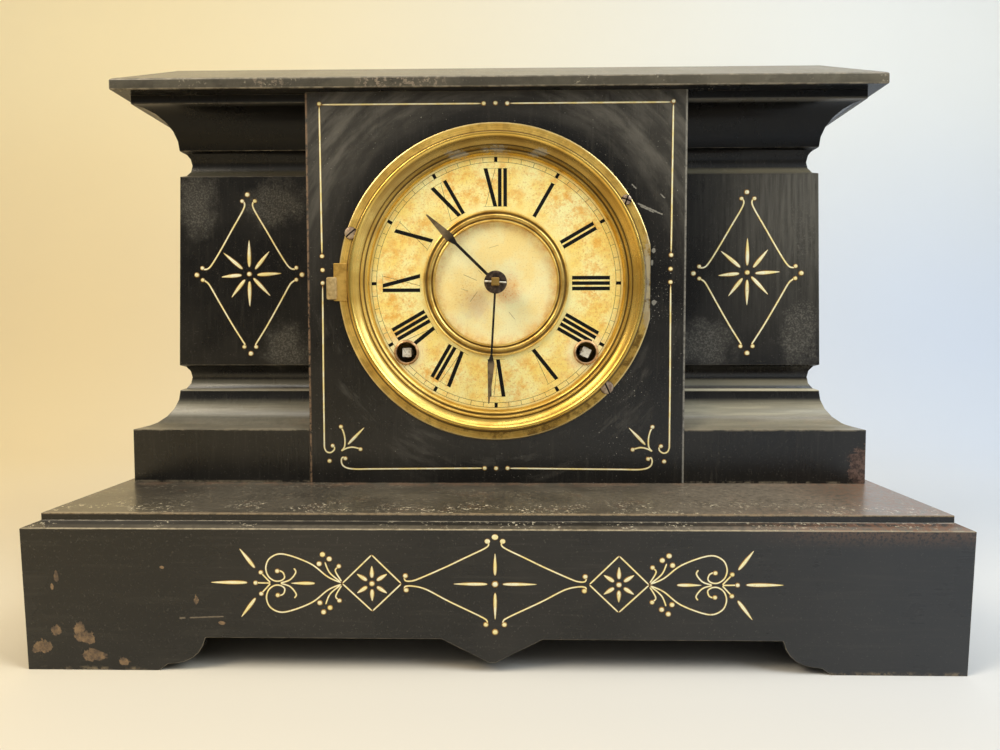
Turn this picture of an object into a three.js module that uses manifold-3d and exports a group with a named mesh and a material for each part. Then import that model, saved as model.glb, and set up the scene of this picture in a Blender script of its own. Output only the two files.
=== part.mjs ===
// Iron mantel clock: cast case, brass-bezelled dial and an eight-day strike movement.
// Millimetres, +Z up. The front faces -Y and the origin is under the middle of the base.
import * as THREE from 'three';
import { mergeVertices } from 'three/addons/utils/BufferGeometryUtils.js';
import Module from 'manifold-3d';

const wasm = await Module();
wasm.setup();

// Clearances
const SEAM = 0.1; // joint line between castings bolted together
const FIT = 0.3; // running gap round a shank, pivot or lip

// Base casting
const BASE_WIDTH = 400;
const BASE_DEPTH = 180;
const BASE_SIDE = 61.4; // height of the plain side up to its arris
const BASE_DRAFT = 1.2; // the side leans in by this at the floor
const LEDGE_RUN = 5.8;
const LEDGE_RISE = 2.2;
const RISER = 3.2;
const BASE_WALL = 5.5;
const DECK = 5.8;
const FOOT_LENGTH = 57.7;
const OGEE_RUN = 20.4;
const OGEE_TOE = 3.9;
const OGEE_TOE_HEIGHT = 2.8;
const APRON_HEIGHT = 14.5; // floor to the underside of the apron
const PENDANT_WIDTH = 42.6;
const PENDANT_TIP = 4.4; // floor to the pendant's tip
const PENDANT_NOSE = 3;
const SIDE_FOOT = 45;

// Wings: the moulded end castings that carry the top
const BODY_INSET = 11.5; // base end to the side of the foot blocks
const FOOT_SETBACK = 73; // base front to the face of the foot blocks
const BACK_SETBACK = 6; // base back to the back of the wings
const BLOCK_HEIGHT = 27.5;
const COVE_RUN = 17.2;
const COVE_RISE = 19.1;
const NECK_DEPTH = 4.7;
const NECK_HEIGHT = 13.6;
const PIER_HEIGHT = 100.8;
const PIER_TAPER = 1.8;
const CORNICE_RUN = 16.9;
const CORNICE_RISE = 19.6;
const FILLET = 4.4;
const CASE_WALL = 5;
const FLANGE = 6;

// Front panel
const PANEL_WIDTH = 192.4;
const PANEL_PROUD = 0.5;
const PANEL_WALL = 4.5;
const PANEL_DEPTH = 29.5;

// Top casting
const OVERHANG_SIDE = 6.6;
const OVERHANG_FRONT = 8.6;
const OVERHANG_BACK = 3.9;
const FASCIA = 5.3;
const ROOF_RUN = 24.5;
const ROOF_RISE = 12.4;
const ROOF_WALL = 4;

// Tie rods that clamp the top, wings and base together
const TIE_RADIUS = 2.4;
const TIE_INSET = 11;
const TIE_HEAD = 9;
const TIE_HEAD_HEIGHT = 5;
const TIE_BOSS = 7;
const TIE_DEPTH = 9; // engagement in the top's bosses

// Back plate and its round door
const BACK_SHEET = 2;
const BACK_SCREW_RADIUS = 1.4;
const BACK_SCREW_LENGTH = 10;
const BACK_SCREW_INSET = 20;
const SCREW_HEAD_RADIUS = 2.8;
const SCREW_HEAD_HEIGHT = 1.4;
const DOOR_OPENING = 56; // radius
const DOOR_LAP = 6;
const DOOR_SHEET = 1;
const VENT_RADIUS = 5;
const VENT_RING = 34;
const VENTS = 6;
const KNUCKLE_RADIUS = 1.6;
const KNUCKLE_LENGTH = 12;
const HINGE_PIN_RADIUS = 0.7;
const KNOB_RADIUS = 3.2;
const KNOB_HEIGHT = 2;

// Dial and bezel
const DIAL_HEIGHT = 169.5; // floor to the centre of the dial
const BEZEL_FLANGE = 1.1;
const BEZEL_SEAT = 71.9; // radius of the wall that fills the panel's opening
const BEZEL_FLANGE_WIDTH = 8.4;
const BEZEL_LIP_WIDTH = 6.9; // the wall to the sight opening over the dial
const BEZEL_RISE = 3.6; // ridge above the panel
const BEZEL_FLAT = 2.3; // trimmed off the flange at the right for the hinge of a door
const BEZEL_LIP = 3; // depth of the seat behind the panel's face
const BEZEL_WALL = 1;
const BEZEL_SCREW_INSET = 2.7;
const BEZEL_SCREW_ANGLES = [161.1, 32.1, -43.3];
const BEZEL_SCREW_RADIUS = 1.3;
const BEZEL_SCREW_LENGTH = 5;
const CATCH_WIDTH = 5.5;
const CATCH_LENGTH = 11.6;
const CATCH_RISE = 3;
const CATCH_DROP = 2.7;
const DIAL_SHEET = 0.8;
const DIAL_RECESS = 1.3; // the centre is pressed back by this
const DIAL_RECESS_RADIUS = 33;
const DIAL_BORE_CLEAR = 1.9;
const CENTRE_RING_LAP = 1.8; // over the sunk centre
const CENTRE_RING_WIDTH = 6.1;
const CENTRE_RING_RISE = 1.6;
const COLLET_BORE = 5.2;
const COLLET_WALL = 0.6;
const COLLET_FLANGE = 0.9;

// Hands, shown at half past ten
const HOUR_ANGLE = 314.4; // degrees clockwise from the top
const MINUTE_ANGLE = 183.3;
const HOUR_HAND = { length: 49, rod: 1.5, base: 28, wide: 32.8, spread: 4.6, hub: 5 };
const MINUTE_HAND = { length: 61.3, rod: 1.1, base: 36.5, wide: 41, spread: 3.6, hub: 3.8 };
const HAND_SHEET = 0.8;
const HAND_CLEAR = 2.6; // hour hand above the centre ring, and minute hand above the hour hand
const ARBOR_SQUARE = 2.8;
const COLLAR_RADIUS = 5.3;
const COLLAR_HEIGHT = 0.9;
const HAND_PIN_RADIUS = 0.5;
const HAND_PIN_LENGTH = 11;
const ARBOR_TIP = 3;

// Movement frame
const BOSS_INSET = 13.2; // from the inside of the panel's edge
const BOSS_UP = 42.5;
const BOSS_DOWN = 57.5;
const BOSS_LENGTH = 20.2;
const BOSS_RADIUS = 5;
const EAR = 7; // plate edge beyond the bosses
const PLATE_SHEET = 1.5;
const PILLAR_RADIUS = 3;
const TENON_RADIUS = 1.5;
const PILLAR_UP = 47;
const MOVEMENT_SCREW_RADIUS = 1.5;
const MOVEMENT_SCREW_GRIP = 9;

// Motion work: 10 to 30 teeth, then 8 to 32
const GEAR_MODULE = 0.8;
const CANNON_TEETH = 10;
const MINUTE_WHEEL_TEETH = 30;
const MINUTE_PINION_TEETH = 8;
const HOUR_WHEEL_TEETH = 32;
const WHEEL_SHEET = 1.5;
const CANNON_LENGTH = 3.6;
const STUD_RADIUS = 1.2;
const CENTRE_ARBOR_RADIUS = 3;
const CANNON_PIPE = 2.2;
const HOUR_PIPE_WALL = 0.6;

// Winding
const WINDING_X = 46.2;
const WINDING_DROP = 35.4;
const WINDING_SQUARE = 4.6;
const WINDING_TURNS = [0, 25]; // how the left and right squares stand, in degrees
const WINDING_PIVOT = 2.8;
const SPRING_ARBOR = 4;
const SPRING_OUTER = 26.4;
const SPRING_STRIP = 0.7;
const SPRING_MARGIN = 8.1; // from each plate to the edge of a mainspring
const SPRING_COILS = 5;
const HOOK_ANGLE = 62.6; // each mainspring is hooked to a pillar this far below level

// Escapement and pendulum, behind the movement
const ESCAPE_UP = 14.5;
const ESCAPE_RADIUS = 12.6;
const ESCAPE_TEETH = 24;
const ESCAPE_ARBOR = 1.2;
const VERGE_CLEAR = 6.9; // escape wheel to the pivot of the verge
const PALLET_CLEAR = 2.6;
const PALLET_SPREAD = 48; // degrees round the escape wheel, each side of its top
const VERGE_HUB = 2.2;
const CRUTCH_LENGTH = 28;
const CRUTCH_WIRE = 1.2;
const SUSPENSION_CLEAR = 2.8;
const SUSPENSION_POST = 2.4;
const SUSPENSION_SETBACK = 8.5; // movement back plate to the plane of the pendulum
const SUSPENSION_STRIP = 0.3;
const SUSPENSION_WIDTH = 3.6;
const SUSPENSION_LENGTH = 11;
const PENDULUM_ROD = 0.9;
const PENDULUM_HEAD = 3; // half the height of the clip that holds the strip
const PENDULUM_LENGTH = 114; // below the suspension strip
const BOB_RADIUS = 16;
const BOB_THICK = 9;
const NUT_RADIUS = 4;
const NUT_HEIGHT = 3;

// Strike
const GONG_WIRE = 1.3; // radius
const GONG_INNER = 7;
const GONG_OUTER = 34;
const GONG_COILS = 3;
const GONG_HEIGHT = 45; // deck to the middle of the gong
const GONG_SETBACK = 12; // back plate to the plane of the gong
const PENDULUM_SETBACK = 14.6; // plane of the gong to the plane of the pendulum
const GONG_HUB = 5.2;
const STAND_WIDTH = 9;
const STAND_THICK = 4.5;
const STAND_FOOT = 26;
const HAMMER_UP = -4;
const HAMMER_ARBOR = 1.4;
const HAMMER_WIRE = 1.4;
const HAMMER_HEAD = 3.4;
const HAMMER_GAP = 2;

// Facets
const FINE = 48;
const ROUND = 28;
const SMALL = 10;
const CURVE = 6;
const SPRING_STEPS = 14; // in each coil of a mainspring
const GONG_STEPS = 18; // in each turn of the gong
const GONG_SIDES = 5;

// Materials
function paint(color, roughness, metalness) {
  return new THREE.MeshStandardMaterial({ color, roughness, metalness });
}
const ironEnamel = paint(0x1d1b19, 0.42, 0.25);
const sheetIron = paint(0x3a3833, 0.55, 0.6);
const brass = paint(0xc4a04a, 0.32, 0.9);
const agedBrass = paint(0xa98a45, 0.45, 0.85);
const blackSteel = paint(0x171615, 0.4, 0.6);
const steel = paint(0x8b8a86, 0.38, 0.9);
const dialPaper = paint(0xe6cf98, 0.75, 0);

// Heights and planes that the pieces share
const baseTop = BASE_SIDE + LEDGE_RISE + RISER;
const baseFront = -BASE_DEPTH / 2;
const baseBack = BASE_DEPTH / 2;
const bodyFront = baseFront + FOOT_SETBACK;
const bodyBack = baseBack - BACK_SETBACK;
const bodyHalf = BASE_WIDTH / 2 - BODY_INSET;
const wingBottom = baseTop + SEAM;
const neckInset = COVE_RUN + PIER_TAPER + NECK_DEPTH;
const neckHalf = bodyHalf - neckInset;
const neckFront = bodyFront + neckInset;
const panelHalf = PANEL_WIDTH / 2;
const panelFront = bodyFront - PANEL_PROUD;
const panelBack = panelFront + PANEL_WALL;
const coveTop = wingBottom + BLOCK_HEIGHT + COVE_RISE;
const corniceTop = coveTop + 2 * NECK_HEIGHT + PIER_HEIGHT + CORNICE_RISE;
const wingTop = corniceTop + FILLET;
const topBottom = wingTop + SEAM;
const roofBottom = topBottom + FASCIA;
const sheetFront = bodyBack + SEAM;
const sheetBack = sheetFront + BACK_SHEET;
const flangeBack = panelFront - SEAM;
const bezelRadius = BEZEL_SEAT + BEZEL_FLANGE_WIDTH;
const bezelSight = BEZEL_SEAT - BEZEL_LIP_WIDTH;
const lipFace = panelFront + BEZEL_LIP;
const dialFront = lipFace + SEAM;
const dialBack = dialFront + DIAL_SHEET;
const ringFace = dialFront - SEAM - CENTRE_RING_RISE;
const hourHandBack = ringFace - HAND_CLEAR;
const minuteHandBack = hourHandBack - HAND_SHEET - HAND_CLEAR;
const collarBack = minuteHandBack - HAND_SHEET - SEAM;
const pinPlane = collarBack - COLLAR_HEIGHT - HAND_PIN_RADIUS - FIT;
const plateFront = panelBack + BOSS_LENGTH + SEAM;
const plateBack = plateFront + PLATE_SHEET;
const gongPlane = sheetFront - GONG_SETBACK;
const pendulumPlane = gongPlane - PENDULUM_SETBACK;
const rearPlateBack = pendulumPlane - SUSPENSION_SETBACK;
const rearPlateFront = rearPlateBack - PLATE_SHEET;
const crutchPlane = pendulumPlane - PENDULUM_ROD - FIT - CRUTCH_WIRE;
const hourPipe = CANNON_PIPE + FIT + HOUR_PIPE_WALL;
const bossX = panelHalf - PANEL_WALL - BOSS_INSET;
const hookReach = SPRING_OUTER + FIT + PILLAR_RADIUS;
const pillarX = WINDING_X + hookReach * Math.cos((HOOK_ANGLE * Math.PI) / 180);
const pillarDown = WINDING_DROP + hookReach * Math.sin((HOOK_ANGLE * Math.PI) / 180);
const vergeUp = ESCAPE_UP + ESCAPE_RADIUS + VERGE_CLEAR;
const stripBottom = vergeUp + VERGE_HUB + SUSPENSION_CLEAR + PENDULUM_HEAD;
const stripTop = stripBottom + SUSPENSION_LENGTH;
const plateTop = Math.max(stripTop, PILLAR_UP, BOSS_UP) + EAR;
const plateBottom = -Math.max(pillarDown, BOSS_DOWN) - EAR;
const hammerX = -GONG_OUTER - HAMMER_GAP - HAMMER_HEAD;

const clock = new THREE.Group();
const clockwork = new THREE.Group(); // everything centred on the dial
clockwork.position.set(0, 0, DIAL_HEIGHT);
clock.add(clockwork);

const radians = THREE.MathUtils.degToRad;

// A closed geometry becomes a solid for joining and cutting
function solid(geometry) {
  const bare = geometry.clone();
  bare.deleteAttribute('normal');
  bare.deleteAttribute('uv');
  const merged = mergeVertices(bare, 1e-4);
  const points = merged.attributes.position.array;
  const index = merged.index.array;
  const corners = [];
  let volume = 0;
  for (let i = 0; i < index.length; i += 3) {
    const [a, b, c] = [index[i], index[i + 1], index[i + 2]];
    if (a === b || b === c || c === a) continue;
    corners.push(a, b, c);
    const p = new THREE.Vector3().fromArray(points, 3 * a);
    const q = new THREE.Vector3().fromArray(points, 3 * b);
    const r = new THREE.Vector3().fromArray(points, 3 * c);
    volume += p.dot(q.cross(r));
  }
  if (volume < 0) corners.reverse();
  const mesh = new wasm.Mesh({
    numProp: 3,
    vertProperties: new Float32Array(points),
    triVerts: new Uint32Array(corners),
  });
  return new wasm.Manifold(mesh);
}

function place(name, body, material, parent = clock, at = {}) {
  const { vertProperties, triVerts } = body.getMesh();
  const geometry = new THREE.BufferGeometry();
  geometry.setAttribute('position', new THREE.BufferAttribute(new Float32Array(vertProperties), 3));
  geometry.setIndex(new THREE.BufferAttribute(new Uint32Array(triVerts), 1));
  geometry.computeVertexNormals();
  const mesh = new THREE.Mesh(geometry, material);
  mesh.name = name;
  mesh.position.set(at.x ?? 0, at.y ?? 0, at.z ?? 0);
  mesh.rotation.y = radians(at.turn ?? 0);
  parent.add(mesh);
  return mesh;
}

const joined = (bodies) => bodies.reduce((all, body) => all.add(body));
const without = (body, cuts) => cuts.reduce((left, cut) => left.subtract(cut), body);

function box(x0, x1, y0, y1, z0, z1) {
  const geometry = new THREE.BoxGeometry(x1 - x0, y1 - y0, z1 - z0);
  geometry.translate((x0 + x1) / 2, (y0 + y1) / 2, (z0 + z1) / 2);
  return solid(geometry);
}

// A cylinder along Y, from front to back
function rod(radius, y0, y1, x = 0, z = 0, sides = SMALL) {
  const geometry = new THREE.CylinderGeometry(radius, radius, y1 - y0, sides);
  geometry.translate(x, (y0 + y1) / 2, z);
  return solid(geometry);
}

// An upright cylinder
function post(radius, z0, z1, x = 0, y = 0, sides = SMALL) {
  const geometry = new THREE.CylinderGeometry(radius, radius, z1 - z0, sides);
  geometry.rotateX(Math.PI / 2);
  geometry.translate(x, y, (z0 + z1) / 2);
  return solid(geometry);
}

// Cutters whose flats, not corners, lie at the radius, so that a round shank clears them
const flats = (radius, sides) => radius / Math.cos(Math.PI / sides);
const hole = (radius, y0, y1, x, z, sides = SMALL) => rod(flats(radius, sides), y0, y1, x, z, sides);
const well = (radius, z0, z1, x, y, sides = SMALL) => post(flats(radius, sides), z0, z1, x, y, sides);

// A profile of [radius, depth] turned about Y
function turned(profile, sides = ROUND) {
  const points = profile.map(([radius, depth]) => new THREE.Vector2(radius, depth));
  if (points[0].x > 0) points.push(points[0].clone());
  return solid(new THREE.LatheGeometry(points, sides));
}

// An outline in the XZ plane given thickness along Y
function slab(shape, y0, y1, curveSegments = CURVE) {
  const geometry = new THREE.ExtrudeGeometry(shape, { depth: y1 - y0, bevelEnabled: false, curveSegments });
  geometry.rotateX(Math.PI / 2);
  geometry.translate(0, y1, 0);
  return solid(geometry);
}

// Rectangles { x0, x1, y0, y1, z } skinned one above the other
function stack(levels) {
  const points = levels.flatMap(({ x0, x1, y0, y1, z }) => [x0, y0, z, x1, y0, z, x1, y1, z, x0, y1, z]);
  const index = [0, 2, 1, 0, 3, 2];
  const last = 4 * (levels.length - 1);
  index.push(last, last + 1, last + 2, last, last + 2, last + 3);
  for (let level = 0; level < last; level += 4) {
    for (let side = 0; side < 4; side += 1) {
      const [a, b] = [level + side, level + ((side + 1) % 4)];
      index.push(a, b, b + 4, a, b + 4, a + 4);
    }
  }
  const geometry = new THREE.BufferGeometry();
  geometry.setAttribute('position', new THREE.Float32BufferAttribute(points, 3));
  geometry.setIndex(index);
  return solid(geometry);
}

function rectangle(x0, x1, z0, z1) {
  return new THREE.Shape([
    new THREE.Vector2(x0, z0),
    new THREE.Vector2(x1, z0),
    new THREE.Vector2(x1, z1),
    new THREE.Vector2(x0, z1),
  ]);
}

// A trapezoid-toothed wheel outline with a tooth pointing along the start angle
function gear(teeth, start, module = GEAR_MODULE) {
  const pitch = (teeth * module) / 2;
  const tip = pitch + 0.85 * module;
  const root = pitch - 1.15 * module;
  const step = (2 * Math.PI) / teeth;
  const corners = [];
  for (let tooth = 0; tooth < teeth; tooth += 1) {
    const middle = start + tooth * step;
    for (const [radius, share] of [[root, -0.29], [tip, -0.09], [tip, 0.09], [root, 0.29]]) {
      const angle = middle + share * step;
      corners.push(new THREE.Vector2(radius * Math.cos(angle), radius * Math.sin(angle)));
    }
  }
  return new THREE.Shape(corners);
}

// Base: a hollow plinth on bracket feet with a pendant in the middle of its apron
function baseCasting() {
  const half = BASE_WIDTH / 2;
  const level = (inset, z) => {
    const side = half - inset;
    return { x0: -side, x1: side, y0: baseFront + inset, y1: baseBack, z };
  };
  const plinth = stack([
    level(BASE_DRAFT, 0),
    level(0, BASE_SIDE),
    level(LEDGE_RUN, BASE_SIDE + LEDGE_RISE),
    level(LEDGE_RUN, baseTop),
  ]);
  const inside = half - BASE_WALL;
  const hollow = box(-inside, inside, baseFront + BASE_WALL, baseBack - BASE_WALL, -1, baseTop - DECK);

  const arch = (halfGap, pendant) => {
    const shape = new THREE.Shape();
    const crown = halfGap - OGEE_RUN;
    const heel = halfGap - OGEE_TOE;
    const low = { x: crown + 0.37 * OGEE_RUN, z: 0.22 * APRON_HEIGHT };
    const high = { x: crown + 0.1 * OGEE_RUN, z: 0.43 * APRON_HEIGHT };
    shape.moveTo(-halfGap, -1);
    shape.lineTo(-halfGap, 0);
    shape.lineTo(-heel, OGEE_TOE_HEIGHT);
    shape.bezierCurveTo(-low.x, low.z, -high.x, high.z, -crown, APRON_HEIGHT);
    if (pendant) {
      shape.lineTo(-PENDANT_WIDTH / 2, APRON_HEIGHT);
      shape.lineTo(-PENDANT_NOSE / 2, PENDANT_TIP);
      shape.lineTo(PENDANT_NOSE / 2, PENDANT_TIP);
      shape.lineTo(PENDANT_WIDTH / 2, APRON_HEIGHT);
    }
    shape.lineTo(crown, APRON_HEIGHT);
    shape.bezierCurveTo(high.x, high.z, low.x, low.z, heel, OGEE_TOE_HEIGHT);
    shape.lineTo(halfGap, 0);
    shape.lineTo(halfGap, -1);
    return shape;
  };
  const frontArch = slab(arch(half - FOOT_LENGTH, true), baseFront - 1, baseFront + BASE_WALL + 1);
  const backArch = slab(arch(half - FOOT_LENGTH, false), baseBack - BASE_WALL - 1, baseBack + 1);
  const sideShape = arch(BASE_DEPTH / 2 - SIDE_FOOT, false);
  const sideGeometry = new THREE.ExtrudeGeometry(sideShape, {
    depth: BASE_WIDTH + 2,
    bevelEnabled: false,
    curveSegments: CURVE,
  });
  sideGeometry.rotateX(Math.PI / 2);
  sideGeometry.rotateZ(Math.PI / 2);
  sideGeometry.translate(-half - 1, 0, 0);
  const deckBottom = baseTop - DECK;
  const rodHoles = tiePlaces().map(([x, y]) => well(TIE_RADIUS + FIT, deckBottom - 1, baseTop + 1, x, y));
  return without(plinth, [hollow, frontArch, backArch, solid(sideGeometry), ...rodHoles]);
}

function tiePlaces() {
  const x = neckHalf - CASE_WALL - TIE_INSET;
  const front = neckFront + CASE_WALL + TIE_INSET;
  const rear = bodyBack - TIE_INSET;
  return [[-x, front], [x, front], [-x, rear], [x, rear]];
}

// The moulded outline of a wing: [inset from the face of the foot block, height]
function wingProfile() {
  const profile = [[0, wingBottom]];
  let z = wingBottom + BLOCK_HEIGHT;
  profile.push([0, z]);
  const sweep = (count, inset, rise) => {
    for (let i = 1; i <= count; i += 1) profile.push([inset(i / count), z + rise(i / count)]);
    z = profile[profile.length - 1][1];
  };
  const quarter = (t) => (t * Math.PI) / 2;
  sweep(CURVE, (t) => COVE_RUN * Math.sin(quarter(t)), (t) => COVE_RISE * (1 - Math.cos(quarter(t))));
  const neck = (face) => sweep(
    CURVE,
    (t) => face + NECK_DEPTH * Math.sin(Math.PI * t),
    (t) => (NECK_HEIGHT * (1 - Math.cos(Math.PI * t))) / 2,
  );
  neck(COVE_RUN);
  const pierTop = COVE_RUN + PIER_TAPER;
  sweep(1, () => pierTop, () => PIER_HEIGHT);
  neck(pierTop);
  sweep(
    CURVE,
    (t) => pierTop - CORNICE_RUN * (1 - Math.cos(quarter(t))),
    (t) => CORNICE_RISE * Math.sin(quarter(t)),
  );
  profile.push([pierTop - CORNICE_RUN, wingTop]);
  return profile;
}

// Wing: a shell, open to the middle of the case and to the back
function wing(side) {
  const inner = panelHalf + FIT;
  const span = (a, b) => ({ x0: Math.min(side * a, side * b), x1: Math.max(side * a, side * b) });
  const shell = stack(wingProfile().map(([inset, z]) => ({
    ...span(inner, bodyHalf - inset),
    y0: bodyFront + inset,
    y1: bodyBack,
    z,
  })));
  const room = (half, front, back, z0, z1) => {
    const { x0, x1 } = span(inner - 1, half);
    return box(x0, x1, front, back, z0, z1);
  };
  const floor = wingBottom + FLANGE;
  const ceiling = wingTop - FLANGE;
  const blockTop = wingBottom + BLOCK_HEIGHT - SEAM;
  const pierInset = COVE_RUN + PIER_TAPER + CASE_WALL;
  const pierBottom = coveTop + NECK_HEIGHT;
  const pierTop = pierBottom + PIER_HEIGHT;
  const holes = tiePlaces()
    .filter(([x]) => x * side > 0)
    .map(([x, y]) => well(TIE_RADIUS + FIT, wingBottom - 1, wingTop + 1, x, y));
  const screwEnd = sheetBack - BACK_SCREW_LENGTH;
  const screwHoles = backScrewPlaces()
    .filter(([x]) => x * side > 0)
    .map(([x, z]) => hole(BACK_SCREW_RADIUS + FIT, screwEnd - FIT, bodyBack + 1, x, z));
  return without(shell, [
    room(neckHalf - CASE_WALL, neckFront + CASE_WALL, bodyBack + 1, floor, ceiling),
    room(bodyHalf - CASE_WALL, bodyFront + CASE_WALL, bodyBack - CASE_WALL, floor, blockTop),
    room(bodyHalf - pierInset, bodyFront + pierInset, bodyBack - CASE_WALL, pierBottom, pierTop),
    ...holes,
    ...screwHoles,
  ]);
}

// Front panel: a shallow tray with the round opening for the bezel and four bosses for the movement
function frontPanel() {
  const tray = box(-panelHalf, panelHalf, panelFront, panelFront + PANEL_DEPTH, wingBottom, wingTop);
  const inside = panelHalf - PANEL_WALL;
  const hollow = box(
    -inside,
    inside,
    panelBack,
    panelFront + PANEL_DEPTH + 1,
    wingBottom + PANEL_WALL,
    wingTop - PANEL_WALL,
  );
  const opening = hole(BEZEL_SEAT + FIT, panelFront - 1, panelBack + 1, 0, DIAL_HEIGHT, FINE);
  const bossEnd = panelBack + BOSS_LENGTH;
  const bosses = bossPlaces().map(([x, z]) => rod(BOSS_RADIUS, panelBack - 1, bossEnd, x, DIAL_HEIGHT + z));
  const threads = bossPlaces().map(([x, z]) => hole(
    MOVEMENT_SCREW_RADIUS + FIT,
    plateFront - MOVEMENT_SCREW_GRIP - FIT,
    bossEnd + 1,
    x,
    DIAL_HEIGHT + z,
  ));
  const screwHoles = bezelScrewPlaces().map(([x, z]) => hole(
    BEZEL_SCREW_RADIUS + FIT,
    panelFront - 1,
    panelBack + 1,
    x,
    DIAL_HEIGHT + z,
  ));
  return without(joined([without(tray, [hollow, opening]), ...bosses]), [...threads, ...screwHoles]);
}

// Top: a flat plate with a hipped roof, hollow underneath
function topCasting() {
  const fillet = COVE_RUN + PIER_TAPER - CORNICE_RUN;
  const half = bodyHalf - fillet + OVERHANG_SIDE;
  const front = bodyFront + fillet - OVERHANG_FRONT;
  const back = bodyBack + OVERHANG_BACK;
  const level = (inset, z) => ({ x0: inset - half, x1: half - inset, y0: front + inset, y1: back, z });
  const roofTop = roofBottom + ROOF_RISE;
  const plate = stack([level(0, topBottom), level(0, roofBottom), level(ROOF_RUN, roofTop)]);
  const rim = OVERHANG_FRONT + CASE_WALL;
  const hollow = stack([
    { ...level(rim, topBottom - 1), y1: back - ROOF_WALL },
    { ...level(rim, roofBottom - ROOF_WALL / 2), y1: back - ROOF_WALL },
    { ...level(ROOF_RUN + ROOF_WALL, roofTop - ROOF_WALL), y1: back - ROOF_WALL },
  ]);
  const bosses = tiePlaces().map(([x, y]) => post(TIE_BOSS, topBottom, roofTop - ROOF_WALL + 1, x, y));
  const tieEnd = topBottom + TIE_DEPTH + FIT;
  const threads = tiePlaces().map(([x, y]) => well(TIE_RADIUS + FIT, topBottom - 1, tieEnd, x, y));
  return without(joined([without(plate, [hollow]), ...bosses]), threads);
}

place('base_casting', baseCasting(), ironEnamel);
place('left_wing', wing(-1), ironEnamel);
place('right_wing', wing(1), ironEnamel);
place('front_panel', frontPanel(), ironEnamel);
place('top_casting', topCasting(), ironEnamel);

// Tie rods, headed under the deck of the base
function tieRod() {
  const headTop = baseTop - DECK - SEAM;
  const half = TIE_HEAD / 2;
  const head = box(-half, half, -half, half, headTop - TIE_HEAD_HEIGHT, headTop);
  return head.add(post(TIE_RADIUS, headTop - 1, topBottom + TIE_DEPTH));
}
['front_left', 'front_right', 'rear_left', 'rear_right'].forEach((corner, i) => {
  const [x, y] = tiePlaces()[i];
  place(`${corner}_tie_rod`, tieRod(), steel, clock, { x, y });
});

// Back plate: sheet iron with a round opening and two knuckles of the door's hinge
function backScrewPlaces() {
  const x = neckHalf - BACK_SCREW_INSET;
  const low = wingBottom + FLANGE / 2;
  const high = wingTop - FLANGE / 2;
  return [[-x, low], [x, low], [-x, high], [x, high]];
}

const hingeX = DOOR_OPENING + DOOR_LAP + KNUCKLE_RADIUS + 2 * FIT;
const hingeY = sheetBack + KNUCKLE_RADIUS + FIT;

function knuckle(z) {
  return post(KNUCKLE_RADIUS, z - KNUCKLE_LENGTH / 2, z + KNUCKLE_LENGTH / 2, hingeX, hingeY);
}
const pinHole = () => well(
  HINGE_PIN_RADIUS + FIT / 2,
  DIAL_HEIGHT - 2 * KNUCKLE_LENGTH,
  DIAL_HEIGHT + 2 * KNUCKLE_LENGTH,
  hingeX,
  hingeY,
);

function backPlate() {
  const half = neckHalf - SEAM;
  const sheet = box(-half, half, sheetFront, sheetBack, wingBottom, wingTop);
  const opening = hole(DOOR_OPENING, sheetFront - 1, sheetBack + 1, 0, DIAL_HEIGHT, FINE);
  const screwHole = BACK_SCREW_RADIUS + FIT;
  const holes = backScrewPlaces().map(([x, z]) => hole(screwHole, sheetFront - 1, sheetBack + 1, x, z));
  const knuckles = [-1, 1].map((end) => {
    const z = DIAL_HEIGHT + end * (KNUCKLE_LENGTH + FIT);
    const leaf = box(
      hingeX,
      hingeX + KNUCKLE_RADIUS,
      sheetBack - SEAM,
      hingeY,
      z - KNUCKLE_LENGTH / 2,
      z + KNUCKLE_LENGTH / 2,
    );
    return knuckle(z).add(leaf);
  });
  return without(joined([without(sheet, [opening, ...holes]), ...knuckles]), [pinHole()]);
}
place('back_plate', backPlate(), sheetIron);

backScrewPlaces().forEach(([x, z], i) => {
  const head = sheetBack + SEAM + SCREW_HEAD_HEIGHT;
  const screw = turned([
    [0, sheetBack - BACK_SCREW_LENGTH],
    [BACK_SCREW_RADIUS, sheetBack - BACK_SCREW_LENGTH],
    [BACK_SCREW_RADIUS, sheetBack + SEAM],
    [SCREW_HEAD_RADIUS, sheetBack + SEAM],
    [SCREW_HEAD_RADIUS * 0.8, head],
    [0, head],
  ], SMALL);
  place(`back_plate_screw_${i + 1}`, screw, steel, clock, { x, z });
});

// Back door: a pierced round of sheet iron on a pinned hinge
function backDoor() {
  const front = sheetBack + FIT;
  const back = front + DOOR_SHEET;
  const disc = rod(DOOR_OPENING + DOOR_LAP, front, back, 0, DIAL_HEIGHT, FINE);
  const vents = Array.from({ length: VENTS }, (_, i) => {
    const angle = ((i + 0.5) * 2 * Math.PI) / VENTS;
    const x = VENT_RING * Math.cos(angle);
    const z = DIAL_HEIGHT + VENT_RING * Math.sin(angle);
    return hole(VENT_RADIUS, front - 1, back + 1, x, z);
  });
  const leaf = box(
    DOOR_OPENING,
    hingeX,
    front,
    back,
    DIAL_HEIGHT - KNUCKLE_LENGTH / 2,
    DIAL_HEIGHT + KNUCKLE_LENGTH / 2,
  );
  const hinge = knuckle(DIAL_HEIGHT);
  const knobHole = hole(KNOB_RADIUS / 2 + SEAM, front - 1, back + 1, -knobX, DIAL_HEIGHT);
  return without(joined([disc, leaf, hinge]), [...vents, pinHole(), knobHole]);
}
const knobX = DOOR_OPENING - 2 * KNOB_RADIUS;
place('back_door', backDoor(), sheetIron);

const pinEnd = 1.5 * KNUCKLE_LENGTH + FIT;
const hingePin = post(HINGE_PIN_RADIUS, -pinEnd, pinEnd);
place('door_hinge_pin', hingePin, steel, clock, { x: hingeX, y: hingeY, z: DIAL_HEIGHT });

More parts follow.
